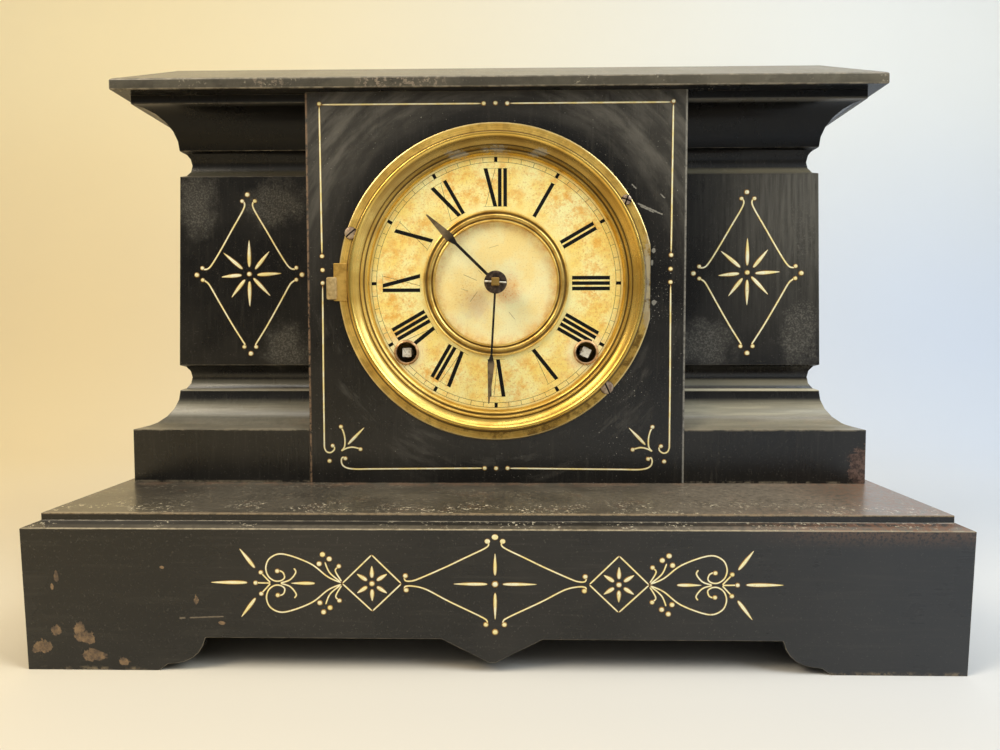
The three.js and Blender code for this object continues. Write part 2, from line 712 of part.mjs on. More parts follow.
function doorKnob() {
  const front = sheetBack + FIT;
  const back = front + DOOR_SHEET;
  return turned([
    [0, front],
    [KNOB_RADIUS / 2, front],
    [KNOB_RADIUS / 2, back + SEAM],
    [KNOB_RADIUS, back + SEAM],
    [KNOB_RADIUS, back + 0.6 * KNOB_HEIGHT],
    [KNOB_RADIUS * 0.6, back + KNOB_HEIGHT],
    [0, back + KNOB_HEIGHT],
  ], SMALL);
}
place('back_door_knob', doorKnob(), brass, clock, { x: -knobX, z: DIAL_HEIGHT });

// Bezel: a turned brass ring whose flange is trimmed straight at the right
function bezelScrewPlaces() {
  const ring = bezelRadius - BEZEL_SCREW_INSET;
  return BEZEL_SCREW_ANGLES.map(radians).map((angle) => [ring * Math.cos(angle), ring * Math.sin(angle)]);
}

function bezelRing() {
  const flangeFace = flangeBack - BEZEL_FLANGE;
  const ridge = panelFront - BEZEL_RISE;
  const slope = (share) => bezelSight + share * BEZEL_LIP_WIDTH;
  const ring = turned([
    [bezelRadius, flangeBack],
    [bezelRadius, flangeFace],
    [BEZEL_SEAT + 0.32 * BEZEL_FLANGE_WIDTH, flangeFace],
    [BEZEL_SEAT + 0.27 * BEZEL_FLANGE_WIDTH, ridge + 0.2 * BEZEL_RISE],
    [BEZEL_SEAT + 0.17 * BEZEL_FLANGE_WIDTH, ridge],
    [slope(0.62), ridge + 0.28 * BEZEL_RISE],
    [slope(0.5), ridge + 0.5 * BEZEL_RISE],
    [slope(0.3), lipFace - 0.7 * BEZEL_LIP],
    [slope(0), lipFace - 0.4 * BEZEL_LIP],
    [slope(0), lipFace],
    [BEZEL_SEAT - BEZEL_WALL, lipFace],
    [BEZEL_SEAT - BEZEL_WALL, dialBack + SEAM],
    [BEZEL_SEAT, dialBack + SEAM],
    [BEZEL_SEAT, flangeBack],
  ], FINE);
  const trim = box(
    bezelRadius - BEZEL_FLAT,
    bezelRadius + 1,
    panelFront - 2 * BEZEL_RISE,
    panelFront,
    -bezelRadius,
    bezelRadius,
  );
  const screwHole = BEZEL_SCREW_RADIUS + FIT;
  const holes = bezelScrewPlaces().map(([x, z]) => hole(screwHole, flangeFace - 1, panelFront, x, z));
  return without(ring, [trim, ...holes]);
}
place('bezel_ring', bezelRing(), brass, clockwork);

bezelScrewPlaces().forEach(([x, z], i) => {
  const seat = flangeBack - BEZEL_FLANGE - SEAM;
  const screw = turned([
    [0, seat - SCREW_HEAD_HEIGHT],
    [SCREW_HEAD_RADIUS * 0.7, seat - SCREW_HEAD_HEIGHT],
    [SCREW_HEAD_RADIUS, seat - 0.4 * SCREW_HEAD_HEIGHT],
    [SCREW_HEAD_RADIUS, seat],
    [BEZEL_SCREW_RADIUS, seat],
    [BEZEL_SCREW_RADIUS, seat + BEZEL_SCREW_LENGTH],
    [0, seat + BEZEL_SCREW_LENGTH],
  ], SMALL);
  place(`bezel_screw_${i + 1}`, screw, steel, clockwork, { x, z });
});

// Catch: a brass nub on the panel beside the bezel, for the latch of a glazed door
const catchInner = -bezelRadius - FIT;
place('door_catch', box(
  catchInner - CATCH_WIDTH,
  catchInner,
  panelFront - SEAM - CATCH_RISE,
  panelFront - SEAM,
  -CATCH_DROP - CATCH_LENGTH / 2,
  -CATCH_DROP + CATCH_LENGTH / 2,
), brass, clockwork);

// Dial: a pressed sheet with a sunk centre, held in the back of the bezel
const windingPlaces = [[-WINDING_X, -WINDING_DROP], [WINDING_X, -WINDING_DROP]];
const colletRadius = COLLET_BORE + COLLET_WALL;

function dialPlate() {
  const edge = BEZEL_SEAT - BEZEL_WALL - FIT;
  const dialBore = hourPipe + DIAL_BORE_CLEAR;
  const sheet = turned([
    [dialBore, dialFront + DIAL_RECESS],
    [DIAL_RECESS_RADIUS, dialFront + DIAL_RECESS],
    [DIAL_RECESS_RADIUS, dialFront],
    [edge, dialFront],
    [edge, dialBack],
    [DIAL_RECESS_RADIUS + DIAL_SHEET, dialBack],
    [DIAL_RECESS_RADIUS + DIAL_SHEET, dialBack + DIAL_RECESS],
    [dialBore, dialBack + DIAL_RECESS],
  ], FINE);
  const keyhole = colletRadius + SEAM;
  const holes = windingPlaces.map(([x, z]) => hole(keyhole, dialFront - 1, dialBack + 1, x, z, ROUND));
  return without(sheet, holes);
}
place('dial_plate', dialPlate(), dialPaper, clockwork);

function centreRing() {
  const seat = dialFront - SEAM;
  const inner = DIAL_RECESS_RADIUS - CENTRE_RING_LAP;
  const across = (share, rise) => [inner + share * CENTRE_RING_WIDTH, seat - rise * CENTRE_RING_RISE];
  return turned([
    across(0, 0),
    across(0, 0.5),
    across(0.25, 1),
    across(0.5, 0.6),
    across(0.75, 1),
    across(1, 0.4),
    across(1, 0),
  ]);
}
place('centre_ring', centreRing(), brass, clockwork);

const sides = ['left', 'right'];
sides.forEach((side, i) => {
  const [x, z] = windingPlaces[i];
  const collet = turned([
    [COLLET_BORE, dialFront - SEAM - COLLET_FLANGE],
    [colletRadius + COLLET_FLANGE, dialFront - SEAM - COLLET_FLANGE / 2],
    [colletRadius + COLLET_FLANGE, dialFront - SEAM],
    [colletRadius, dialFront - SEAM],
    [colletRadius, dialBack + COLLET_FLANGE],
    [COLLET_BORE, dialBack + COLLET_FLANGE],
  ]);
  place(`${side}_winding_collet`, collet, agedBrass, clockwork, { x, z });
});

// Hands: a thin rod that swells to a spear near its tip, on a round hub
function hand({ length, rod: width, base, wide, spread, hub }, back, hole) {
  const front = back - HAND_SHEET;
  const blade = new THREE.Shape([
    new THREE.Vector2(-width / 2, 0),
    new THREE.Vector2(width / 2, 0),
    new THREE.Vector2(width / 2, base),
    new THREE.Vector2(spread / 2, wide),
    new THREE.Vector2(width / 4, length),
    new THREE.Vector2(-width / 4, length),
    new THREE.Vector2(-spread / 2, wide),
    new THREE.Vector2(-width / 2, base),
  ]);
  return slab(blade, front, back).add(rod(hub, front, back, 0, 0, ROUND)).subtract(hole);
}

const squareFit = ARBOR_SQUARE / 2 + SEAM;
const squareHole = (y0, y1) => box(-squareFit, squareFit, y0, y1, -squareFit, squareFit);
const pipeHole = hole(hourPipe + SEAM, hourHandBack - HAND_CLEAR, hourHandBack + 1, 0, 0);
const arborHole = squareHole(minuteHandBack - HAND_CLEAR, minuteHandBack + 1);
const hourHand = hand(HOUR_HAND, hourHandBack, pipeHole);
const minuteHand = hand(MINUTE_HAND, minuteHandBack, arborHole);
place('hour_hand', hourHand, blackSteel, clockwork, { turn: HOUR_ANGLE });
place('minute_hand', minuteHand, blackSteel, clockwork, { turn: MINUTE_ANGLE });

function handCollar() {
  const disc = turned([
    [0, collarBack - COLLAR_HEIGHT],
    [COLLAR_RADIUS * 0.8, collarBack - COLLAR_HEIGHT],
    [COLLAR_RADIUS, collarBack - 0.4 * COLLAR_HEIGHT],
    [COLLAR_RADIUS, collarBack],
    [0, collarBack],
  ]);
  return disc.subtract(squareHole(collarBack - 2 * COLLAR_HEIGHT, collarBack + 1));
}
place('hand_collar', handCollar(), blackSteel, clockwork, { turn: MINUTE_ANGLE });

const handPin = new THREE.CylinderGeometry(HAND_PIN_RADIUS * 0.7, HAND_PIN_RADIUS, HAND_PIN_LENGTH, SMALL);
handPin.rotateZ(Math.PI / 2);
handPin.translate(0, pinPlane, 0);
place('hand_pin', solid(handPin), brass, clockwork, { turn: MINUTE_ANGLE });

// Movement frame: two plates on four pillars, screwed to the bosses of the front panel
function bossPlaces() {
  return [[-bossX, BOSS_UP], [bossX, BOSS_UP], [-bossX, -BOSS_DOWN], [bossX, -BOSS_DOWN]];
}
const pillarPlaces = [
  [-pillarX, PILLAR_UP], [pillarX, PILLAR_UP], [-pillarX, -pillarDown], [pillarX, -pillarDown],
];
const motionCentre = ((CANNON_TEETH + MINUTE_WHEEL_TEETH) * GEAR_MODULE) / 2;
const hourModule = (2 * motionCentre) / (MINUTE_PINION_TEETH + HOUR_WHEEL_TEETH);
const minuteWheelBack = plateFront - FIT - WHEEL_SHEET;
const minuteWheelFront = minuteWheelBack - WHEEL_SHEET;
const hourWheelBack = minuteWheelFront - FIT - CANNON_LENGTH;
const hourWheelFront = hourWheelBack - WHEEL_SHEET;
const pivotHoles = (y0, y1) => [
  hole(CANNON_PIPE + FIT, y0, y1, 0, 0),
  ...windingPlaces.map(([x, z]) => hole(WINDING_PIVOT + FIT, y0, y1, x, z)),
  ...pillarPlaces.map(([x, z]) => hole(TENON_RADIUS + FIT / 2, y0, y1, x, z)),
  hole(ESCAPE_ARBOR + FIT, y0, y1, 0, ESCAPE_UP),
];

function frontMovementPlate() {
  const sheet = slab(
    rectangle(-bossX - EAR, bossX + EAR, plateBottom, plateTop),
    plateFront,
    plateBack,
  );
  const stud = rod(STUD_RADIUS, hourWheelFront - FIT, plateFront + PLATE_SHEET / 2, motionCentre, 0);
  const [y0, y1] = [plateFront - 1, plateBack + 1];
  const screws = bossPlaces().map(([x, z]) => hole(MOVEMENT_SCREW_RADIUS + FIT, y0, y1, x, z));
  return without(sheet.add(stud), [...pivotHoles(y0, y1), ...screws]);
}
place('movement_front_plate', frontMovementPlate(), agedBrass, clockwork);

function rearMovementPlate() {
  const sheet = slab(
    rectangle(-pillarX - EAR, pillarX + EAR, plateBottom, plateTop),
    rearPlateFront,
    rearPlateBack,
  );
  const [y0, y1] = [rearPlateFront - 1, rearPlateBack + 1];
  const studFront = rearPlateBack - PLATE_SHEET / 2;
  const vergeStud = rod(STUD_RADIUS, studFront, crutchPlane + CRUTCH_WIRE, 0, vergeUp);
  return without(sheet, [
    ...pivotHoles(y0, y1),
    hole(TENON_RADIUS + FIT / 2, y0, y1, 0, stripTop),
    hole(HAMMER_ARBOR + FIT, y0, y1, hammerX, HAMMER_UP),
  ]).add(vergeStud);
}
place('movement_back_plate', rearMovementPlate(), agedBrass, clockwork);

const corners = ['upper_left', 'upper_right', 'lower_left', 'lower_right'];
corners.forEach((corner, i) => {
  const [x, z] = pillarPlaces[i];
  const pillar = turned([
    [0, plateFront + SEAM],
    [TENON_RADIUS, plateFront + SEAM],
    [TENON_RADIUS, plateBack + SEAM],
    [PILLAR_RADIUS, plateBack + SEAM],
    [PILLAR_RADIUS, rearPlateFront - SEAM],
    [TENON_RADIUS, rearPlateFront - SEAM],
    [TENON_RADIUS, rearPlateBack - SEAM],
    [0, rearPlateBack - SEAM],
  ], SMALL);
  place(`${corner}_pillar`, pillar, agedBrass, clockwork, { x, z });
});

corners.forEach((corner, i) => {
  const [x, z] = bossPlaces()[i];
  const screw = turned([
    [0, plateFront - MOVEMENT_SCREW_GRIP],
    [MOVEMENT_SCREW_RADIUS, plateFront - MOVEMENT_SCREW_GRIP],
    [MOVEMENT_SCREW_RADIUS, plateBack + SEAM],
    [SCREW_HEAD_RADIUS, plateBack + SEAM],
    [SCREW_HEAD_RADIUS, plateBack + SCREW_HEAD_HEIGHT],
    [0, plateBack + SCREW_HEAD_HEIGHT],
  ], SMALL);
  place(`${corner}_movement_screw`, screw, steel, clockwork, { x, z });
});

// Motion work: the minute arbor's pinion drives the hour pipe through one wheel and pinion
function centreArbor() {
  const cannonFront = minuteWheelFront - FIT;
  const squareStart = minuteHandBack + SEAM;
  const shaft = turned([
    [0, squareStart],
    [CANNON_PIPE, squareStart],
    [CANNON_PIPE, plateBack + FIT],
    [CENTRE_ARBOR_RADIUS, plateBack + FIT],
    [CENTRE_ARBOR_RADIUS, rearPlateFront - FIT],
    [CANNON_PIPE, rearPlateFront - FIT],
    [CANNON_PIPE, rearPlateBack + FIT],
    [0, rearPlateBack + FIT],
  ], SMALL);
  const pinion = slab(gear(CANNON_TEETH, 0), cannonFront, minuteWheelBack + FIT);
  const squareLength = squareStart + 1 - (pinPlane - ARBOR_TIP);
  const square = new THREE.BoxGeometry(ARBOR_SQUARE, squareLength, ARBOR_SQUARE);
  square.translate(0, squareStart + 1 - squareLength / 2, 0);
  const drill = HAND_PIN_RADIUS + SEAM;
  const pinHole = new THREE.CylinderGeometry(drill, drill, HAND_PIN_LENGTH, SMALL);
  pinHole.rotateZ(Math.PI / 2);
  pinHole.translate(0, pinPlane, 0);
  // The square and its pin hole stand with the minute hand, the pinion with its wheel
  square.rotateY(radians(MINUTE_ANGLE));
  pinHole.rotateY(radians(MINUTE_ANGLE));
  return joined([shaft, pinion, solid(square)]).subtract(solid(pinHole));
}
place('centre_arbor', centreArbor(), steel, clockwork);

function minuteWheel() {
  const wheelStart = Math.PI + Math.PI / MINUTE_WHEEL_TEETH;
  const wheel = slab(gear(MINUTE_WHEEL_TEETH, wheelStart), minuteWheelFront, minuteWheelBack);
  const leaves = gear(MINUTE_PINION_TEETH, Math.PI, hourModule);
  const pinion = slab(leaves, hourWheelFront - FIT, minuteWheelFront + SEAM);
  const bore = hole(STUD_RADIUS + FIT / 2, hourWheelFront - 1, minuteWheelBack + 1, 0, 0);
  return without(wheel.add(pinion), [bore]);
}
place('minute_wheel', minuteWheel(), brass, clockwork, { x: motionCentre });

function hourWheel() {
  const outline = gear(HOUR_WHEEL_TEETH, Math.PI / HOUR_WHEEL_TEETH, hourModule);
  const wheel = slab(outline, hourWheelFront, hourWheelBack);
  const pipe = rod(hourPipe, hourHandBack - HAND_SHEET - SEAM, hourWheelBack);
  const bore = hole(CANNON_PIPE + FIT / 2, minuteHandBack, hourWheelBack + 1, 0, 0);
  return without(wheel.add(pipe), [bore]);
}
place('hour_wheel', hourWheel(), brass, clockwork);

// Winding arbors with square ends behind the dial's holes
function windingArbor() {
  const shaft = turned([
    [0, dialBack + FIT + WINDING_SQUARE],
    [WINDING_PIVOT, dialBack + FIT + WINDING_SQUARE],
    [WINDING_PIVOT, plateBack + FIT],
    [SPRING_ARBOR, plateBack + FIT],
    [SPRING_ARBOR, rearPlateFront - FIT],
    [WINDING_PIVOT, rearPlateFront - FIT],
    [WINDING_PIVOT, rearPlateBack + FIT],
    [0, rearPlateBack + FIT],
  ], SMALL);
  const half = WINDING_SQUARE / 2;
  return shaft.add(box(-half, half, dialBack + FIT, dialBack + 3 * WINDING_SQUARE, -half, half));
}
['strike', 'time'].forEach((train, i) => {
  const [x, z] = windingPlaces[i];
  place(`${train}_winding_arbor`, windingArbor(), steel, clockwork, { x, z, turn: WINDING_TURNS[i] });
});

// Mainsprings: flat strips coiled round the winding arbors, hooked to the lower pillars
function mainspring(side) {
  const steps = SPRING_COILS * SPRING_STEPS;
  const inner = SPRING_ARBOR + FIT + SPRING_STRIP / 2;
  const grow = (SPRING_OUTER - SPRING_STRIP / 2 - inner) / steps;
  const end = Math.atan2(WINDING_DROP - pillarDown, side * (pillarX - WINDING_X));
  const edge = (offset) => Array.from({ length: steps + 1 }, (_, i) => {
    const angle = end - (side * (steps - i) * 2 * Math.PI) / SPRING_STEPS;
    const radius = inner + grow * i + offset;
    return new THREE.Vector2(radius * Math.cos(angle), radius * Math.sin(angle));
  });
  const outline = [...edge(SPRING_STRIP / 2), ...edge(-SPRING_STRIP / 2).reverse()];
  return slab(new THREE.Shape(outline), plateBack + SPRING_MARGIN, rearPlateFront - SPRING_MARGIN);
}
['strike', 'time'].forEach((train, i) => {
  const [x, z] = windingPlaces[i];
  place(`${train}_mainspring`, mainspring(i === 0 ? -1 : 1), steel, clockwork, { x, z });
});

// Escape wheel: raked teeth on a rim, with its arbor running through both plates
const escapeFront = rearPlateBack + FIT;
const escapeBack = escapeFront + WHEEL_SHEET;

function escapeWheel() {
  const step = (2 * Math.PI) / ESCAPE_TEETH;
  const at = (radius, steps) => new THREE.Vector2(radius, 0).rotateAround(new THREE.Vector2(), steps * step);
  const teeth = Array.from({ length: ESCAPE_TEETH }, (_, i) => [
    at(0.82 * ESCAPE_RADIUS, i),
    at(ESCAPE_RADIUS, i + 0.85),
  ]).flat();
  const rim = slab(new THREE.Shape(teeth), escapeFront, escapeBack);
  const arbor = rod(ESCAPE_ARBOR, plateFront, escapeBack + FIT);
  return rim.add(arbor);
}
place('escape_wheel', escapeWheel(), brass, clockwork, { z: ESCAPE_UP });

// Verge: a strip bent to two pallets, with the crutch that embraces the pendulum rod
function verge() {
  const spread = radians(PALLET_SPREAD);
  const reach = ESCAPE_RADIUS + PALLET_CLEAR;
  const strip = [-1, 1].map((side) => {
    const drop = vergeUp - ESCAPE_UP - reach * Math.cos(spread);
    const foot = new THREE.Vector2(side * reach * Math.sin(spread), -drop);
    return slab(new THREE.Shape([
      new THREE.Vector2(0, VERGE_HUB * 0.6),
      new THREE.Vector2(foot.x * 1.06, foot.y * 0.86),
      foot,
      new THREE.Vector2(foot.x * 0.9, foot.y * 0.9),
      new THREE.Vector2(0, -VERGE_HUB * 0.6),
    ]), escapeFront, escapeBack);
  });
  const hub = rod(VERGE_HUB, escapeFront, crutchPlane + CRUTCH_WIRE);
  const half = CRUTCH_WIRE / 2;
  const wire = box(-half, half, crutchPlane, crutchPlane + CRUTCH_WIRE, -CRUTCH_LENGTH, 0);
  const gap = PENDULUM_ROD + FIT;
  const yoke = box(
    -gap - CRUTCH_WIRE,
    gap + CRUTCH_WIRE,
    crutchPlane,
    pendulumPlane + PENDULUM_ROD + FIT,
    -CRUTCH_LENGTH,
    -CRUTCH_LENGTH + CRUTCH_WIRE,
  );
  const slot = box(
    -gap,
    gap,
    pendulumPlane - PENDULUM_ROD - FIT,
    pendulumPlane + 2 * PENDULUM_ROD + FIT,
    -CRUTCH_LENGTH - 1,
    -CRUTCH_LENGTH + 2 * CRUTCH_WIRE,
  );
  const bore = hole(STUD_RADIUS + FIT / 2, escapeFront - 1, crutchPlane + CRUTCH_WIRE + 1, 0, 0);
  return without(joined([...strip, hub, wire, yoke.subtract(slot)]), [bore]);
}
place('verge', verge(), steel, clockwork, { z: vergeUp });

// Suspension: a slit post, a thin spring strip and the pendulum below it
const stripHalf = SUSPENSION_STRIP / 2;
const stripFront = pendulumPlane - SUSPENSION_WIDTH / 2;
const stripBack = pendulumPlane + SUSPENSION_WIDTH / 2;

function slit(z0, z1) {
  const half = stripHalf + SEAM;
  return box(-half, half, stripFront - FIT, stripBack + FIT, z0, z1);
}

function suspensionPost() {
  const shaft = turned([
    [0, rearPlateFront + SEAM],
    [TENON_RADIUS, rearPlateFront + SEAM],
    [TENON_RADIUS, rearPlateBack + SEAM],
    [SUSPENSION_POST, rearPlateBack + SEAM],
    [SUSPENSION_POST, stripBack + FIT + SUSPENSION_POST / 2],
    [0, stripBack + FIT + SUSPENSION_POST / 2],
  ], SMALL);
  return shaft.subtract(slit(-2 * SUSPENSION_POST, SEAM));
}
place('suspension_post', suspensionPost(), agedBrass, clockwork, { z: stripTop });
const strip = box(-stripHalf, stripHalf, stripFront, stripBack, stripBottom, stripTop);
place('suspension_spring', strip, steel, clockwork);

const rodTop = stripBottom + PENDULUM_HEAD;
const rodBottom = stripBottom - PENDULUM_LENGTH;
function pendulumRod() {
  const half = PENDULUM_ROD + FIT;
  const block = box(-half, half, stripFront, stripBack, stripBottom - PENDULUM_HEAD, rodTop);
  const wire = post(PENDULUM_ROD, rodBottom, stripBottom - PENDULUM_HEAD / 2, 0, pendulumPlane);
  return block.subtract(slit(stripBottom - SEAM, rodTop + 1)).add(wire);
}
place('pendulum_rod', pendulumRod(), steel, clockwork);

const nutBottom = rodBottom + NUT_HEIGHT;
const bobMiddle = nutBottom + NUT_HEIGHT + SEAM + BOB_RADIUS;
function pendulumBob() {
  const lens = turned([
    [0, -BOB_THICK / 2],
    [0.6 * BOB_RADIUS, -0.4 * BOB_THICK],
    [BOB_RADIUS, -0.12 * BOB_THICK],
    [BOB_RADIUS, 0.12 * BOB_THICK],
    [0.6 * BOB_RADIUS, 0.4 * BOB_THICK],
    [0, BOB_THICK / 2],
  ]);
  return lens.subtract(well(PENDULUM_ROD + FIT / 2, -BOB_RADIUS - 1, BOB_RADIUS + 1, 0, 0));
}
place('pendulum_bob', pendulumBob(), brass, clockwork, { y: pendulumPlane, z: bobMiddle });

const nutBore = well(PENDULUM_ROD + FIT / 2, -1, NUT_HEIGHT + 1, 0, 0);
const nut = post(NUT_RADIUS, 0, NUT_HEIGHT).subtract(nutBore);
place('rating_nut', nut, brass, clockwork, { y: pendulumPlane, z: nutBottom });

// Gong: a wire spiral on an iron stand that stands on the deck of the base
const gongMiddle = baseTop + GONG_HEIGHT;

function gongCoil() {
  const steps = GONG_COILS * GONG_STEPS;
  const grow = (GONG_OUTER - GONG_INNER - GONG_WIRE) / steps;
  const points = Array.from({ length: steps + 1 }, (_, i) => {
    const angle = Math.PI + (i * 2 * Math.PI) / GONG_STEPS;
    const radius = GONG_INNER + grow * i;
    return new THREE.Vector3(radius * Math.cos(angle), 0, radius * Math.sin(angle));
  });
  const section = new THREE.Shape(Array.from({ length: GONG_SIDES }, (_, i) => {
    const angle = (i * 2 * Math.PI) / GONG_SIDES;
    return new THREE.Vector2(GONG_WIRE * Math.cos(angle), GONG_WIRE * Math.sin(angle));
  }));
  const extrudePath = new THREE.CatmullRomCurve3(points);
  return solid(new THREE.ExtrudeGeometry(section, { steps, extrudePath, bevelEnabled: false }));
}
place('gong_coil', gongCoil(), steel, clock, { y: gongPlane, z: gongMiddle });

function gongStand() {
  const postFront = gongPlane + GONG_WIRE + FIT;
  const half = STAND_WIDTH / 2;
  const upright = box(-half, half, postFront, postFront + STAND_THICK, wingBottom, gongMiddle + GONG_HUB);
  const footHalf = STAND_FOOT / 2;
  const footFront = postFront - STAND_FOOT / 3;
  const footTop = wingBottom + FLANGE;
  const foot = box(-footHalf, footHalf, footFront, postFront + STAND_THICK, wingBottom, footTop);
  const hub = rod(GONG_HUB, gongPlane - GONG_WIRE, postFront + 1, 0, gongMiddle);
  return joined([upright, foot, hub]);
}
place('gong_stand', gongStand(), ironEnamel);

// Hammer: an arbor through the back plate with a wire arm and a round head beside the gong
function hammer() {
  const drop = DIAL_HEIGHT + HAMMER_UP - gongMiddle;
  const arbor = rod(HAMMER_ARBOR, rearPlateFront - HAMMER_ARBOR, gongPlane + HAMMER_WIRE);
  const half = HAMMER_WIRE / 2;
  const arm = box(-half, half, gongPlane - half, gongPlane + half, -drop, 0);
  const head = new THREE.CylinderGeometry(HAMMER_HEAD, HAMMER_HEAD, 2 * HAMMER_HEAD, SMALL);
  head.rotateZ(Math.PI / 2);
  head.translate(0, gongPlane, -drop);
  return joined([arbor, arm, solid(head)]);
}
place('strike_hammer', hammer(), steel, clock, { x: hammerX, z: DIAL_HEIGHT + HAMMER_UP });

export default clock;
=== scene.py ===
# Packed clock: the solids of the case, the dial and the movement, already at their places.
# Every piece below is fitted to them, and their box is kept.
import math

import bmesh
import bpy
from mathutils import Matrix, Vector


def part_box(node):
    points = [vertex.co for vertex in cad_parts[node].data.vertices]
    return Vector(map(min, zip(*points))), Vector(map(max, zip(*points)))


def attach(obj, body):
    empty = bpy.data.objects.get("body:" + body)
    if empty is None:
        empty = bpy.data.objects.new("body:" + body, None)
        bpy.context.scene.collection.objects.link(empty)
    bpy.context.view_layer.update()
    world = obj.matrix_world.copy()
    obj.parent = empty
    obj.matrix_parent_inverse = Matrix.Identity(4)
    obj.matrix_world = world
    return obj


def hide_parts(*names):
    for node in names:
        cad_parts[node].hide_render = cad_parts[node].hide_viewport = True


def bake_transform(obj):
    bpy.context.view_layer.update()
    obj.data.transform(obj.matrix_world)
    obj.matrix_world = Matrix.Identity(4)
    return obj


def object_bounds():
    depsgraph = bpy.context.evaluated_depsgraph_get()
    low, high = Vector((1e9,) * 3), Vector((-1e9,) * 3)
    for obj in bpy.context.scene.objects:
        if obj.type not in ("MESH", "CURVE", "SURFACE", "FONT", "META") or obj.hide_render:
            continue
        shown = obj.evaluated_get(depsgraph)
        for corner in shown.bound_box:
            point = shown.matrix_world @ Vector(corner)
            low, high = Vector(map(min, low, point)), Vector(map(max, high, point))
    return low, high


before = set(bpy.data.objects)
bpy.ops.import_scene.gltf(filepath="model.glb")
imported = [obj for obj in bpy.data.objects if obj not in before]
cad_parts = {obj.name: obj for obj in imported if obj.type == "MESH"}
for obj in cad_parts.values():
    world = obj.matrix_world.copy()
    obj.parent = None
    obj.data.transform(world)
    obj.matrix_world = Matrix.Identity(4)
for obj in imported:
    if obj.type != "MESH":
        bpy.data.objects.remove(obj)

solid_low, solid_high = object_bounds()

# Camera: close in front of the base, a little right of the middle and at the height of the dial,
# looking slightly down at the clock.
camera_data = bpy.data.cameras.new("camera")
camera_data.sensor_width = 36
camera_data.lens = 26.431
camera = bpy.data.objects.new("camera", camera_data)
camera.location = (0.009486, -0.392582, 0.14175)
swing = Matrix.Rotation(math.radians(1.132), 3, "Z")
tilt = Matrix.Rotation(math.radians(87.079), 3, "X")
roll = Matrix.Rotation(math.radians(-0.083), 3, "Z")
camera.rotation_euler = (swing @ tilt @ roll).to_euler()
bpy.context.scene.collection.objects.link(camera)
bpy.context.scene.camera = camera
bpy.context.scene.view_settings.view_transform = "Standard"


# Shelf and paper sweep: a pale sheet that lies under the clock and curves up behind it.
# Its colour has painted light in it: warm at the left where the lamp is, cool at the window side,
# paler higher up.
class Tone:
    """One socket of a finish, used in sums and products that add their own nodes."""

    def __init__(self, tree, socket):
        self.tree = tree
        self.socket = socket

    def node(self, kind, settings, sockets, out=0):
        """Adds a node: its settings first, then a value or a link for each socket."""
        made = self.tree.nodes.new("ShaderNode" + kind)
        for key, value in settings.items():
            setattr(made, key, value)
        for key, value in sockets.items():
            if isinstance(value, Tone):
                self.tree.links.new(value.socket, made.inputs[key])
            else:
                made.inputs[key].default_value = value
        return Tone(self.tree, made.outputs[out])

    def maths(self, operation, first, second):
        return self.node("Math", {"operation": operation}, {0: first, 1: second})

    def __add__(self, other):
        return self.maths("ADD", self, other)

    def __radd__(self, other):
        return self.maths("ADD", other, self)

    def __sub__(self, other):
        return self.maths("SUBTRACT", self, other)

    def __rsub__(self, other):
        return self.maths("SUBTRACT", other, self)

    def __mul__(self, other):
        return self.maths("MULTIPLY", self, other)

    def __rmul__(self, other):
        return self.maths("MULTIPLY", other, self)

    def most(self, other):
        return self.maths("MAXIMUM", self, other)

    def step(self, low, high):
        """0 at low and 1 at high, with a soft step between."""
        sockets = {0: self, 1: low, 2: high}
        return self.node("MapRange", {"interpolation_type": "SMOOTHSTEP"}, sockets)

    def mix(self, first, second):
        """The first colour where this is 0 and the second where it is 1."""
        return self.node("Mix", {"data_type": "RGBA"}, {0: self, 6: first, 7: second}, 2)

    def stretch(self, x, y, z):
        return self.node("VectorMath", {"operation": "MULTIPLY"}, {0: self, 1: (x, y, z)})

    def dot_with(self, x, y, z):
        return self.node("VectorMath", {"operation": "DOT_PRODUCT"}, {0: self, 1: (x, y, z)}, 1)

    def away(self, x, y, z):
        """How far this point is from another, in millimetres."""
        return self.node("VectorMath", {"operation": "DISTANCE"}, {0: self, 1: (x, y, z)}, 1)

    def along(self, axis):
        """One coordinate of this point: 0 across, 1 to the back, 2 up."""
        return self.node("SeparateXYZ", {}, {0: self}, axis)

    def noise(self, size, detail=3, roughness=0.55):
        """Cloudy pattern whose patches are about this many millimetres across."""
        sockets = {"Vector": self, "Scale": 1 / size, "Detail": detail, "Roughness": roughness}
        return self.node("TexNoise", {}, sockets)


def paint(*screen):
    """A colour of 0 to 255 as seen on a screen, made linear."""
    linear = []
    for value in screen:
        part = value / 255
        linear.append(((part + 0.055) / 1.055) ** 2.4 if part > 0.04 else part / 12.92)
    return (*linear, 1)


def new_finish(name):
    """A new material, and the point on the clock in millimetres."""
    material = bpy.data.materials.new(name)
    material.use_nodes = True
    tree = material.node_tree
    point = Tone(tree, tree.nodes.new("ShaderNodeTexCoord").outputs["Object"])
    return material, point.stretch(1000, 1000, 1000)


def set_finish(material, sockets, height=None, depth=0.0):
    """Plugs tones and numbers into the shader; depth in millimetres is the height's whole rise."""
    shader = material.node_tree.nodes["Principled BSDF"]
    if height:
        bump = {"Height": height, "Strength": 1.0, "Distance": depth / 1000}
        sockets["Normal"] = height.node("Bump", {}, bump)
    for key, value in sockets.items():
        if isinstance(value, Tone):
            material.node_tree.links.new(value.socket, shader.inputs[key])
        else:
            shader.inputs[key].default_value = value


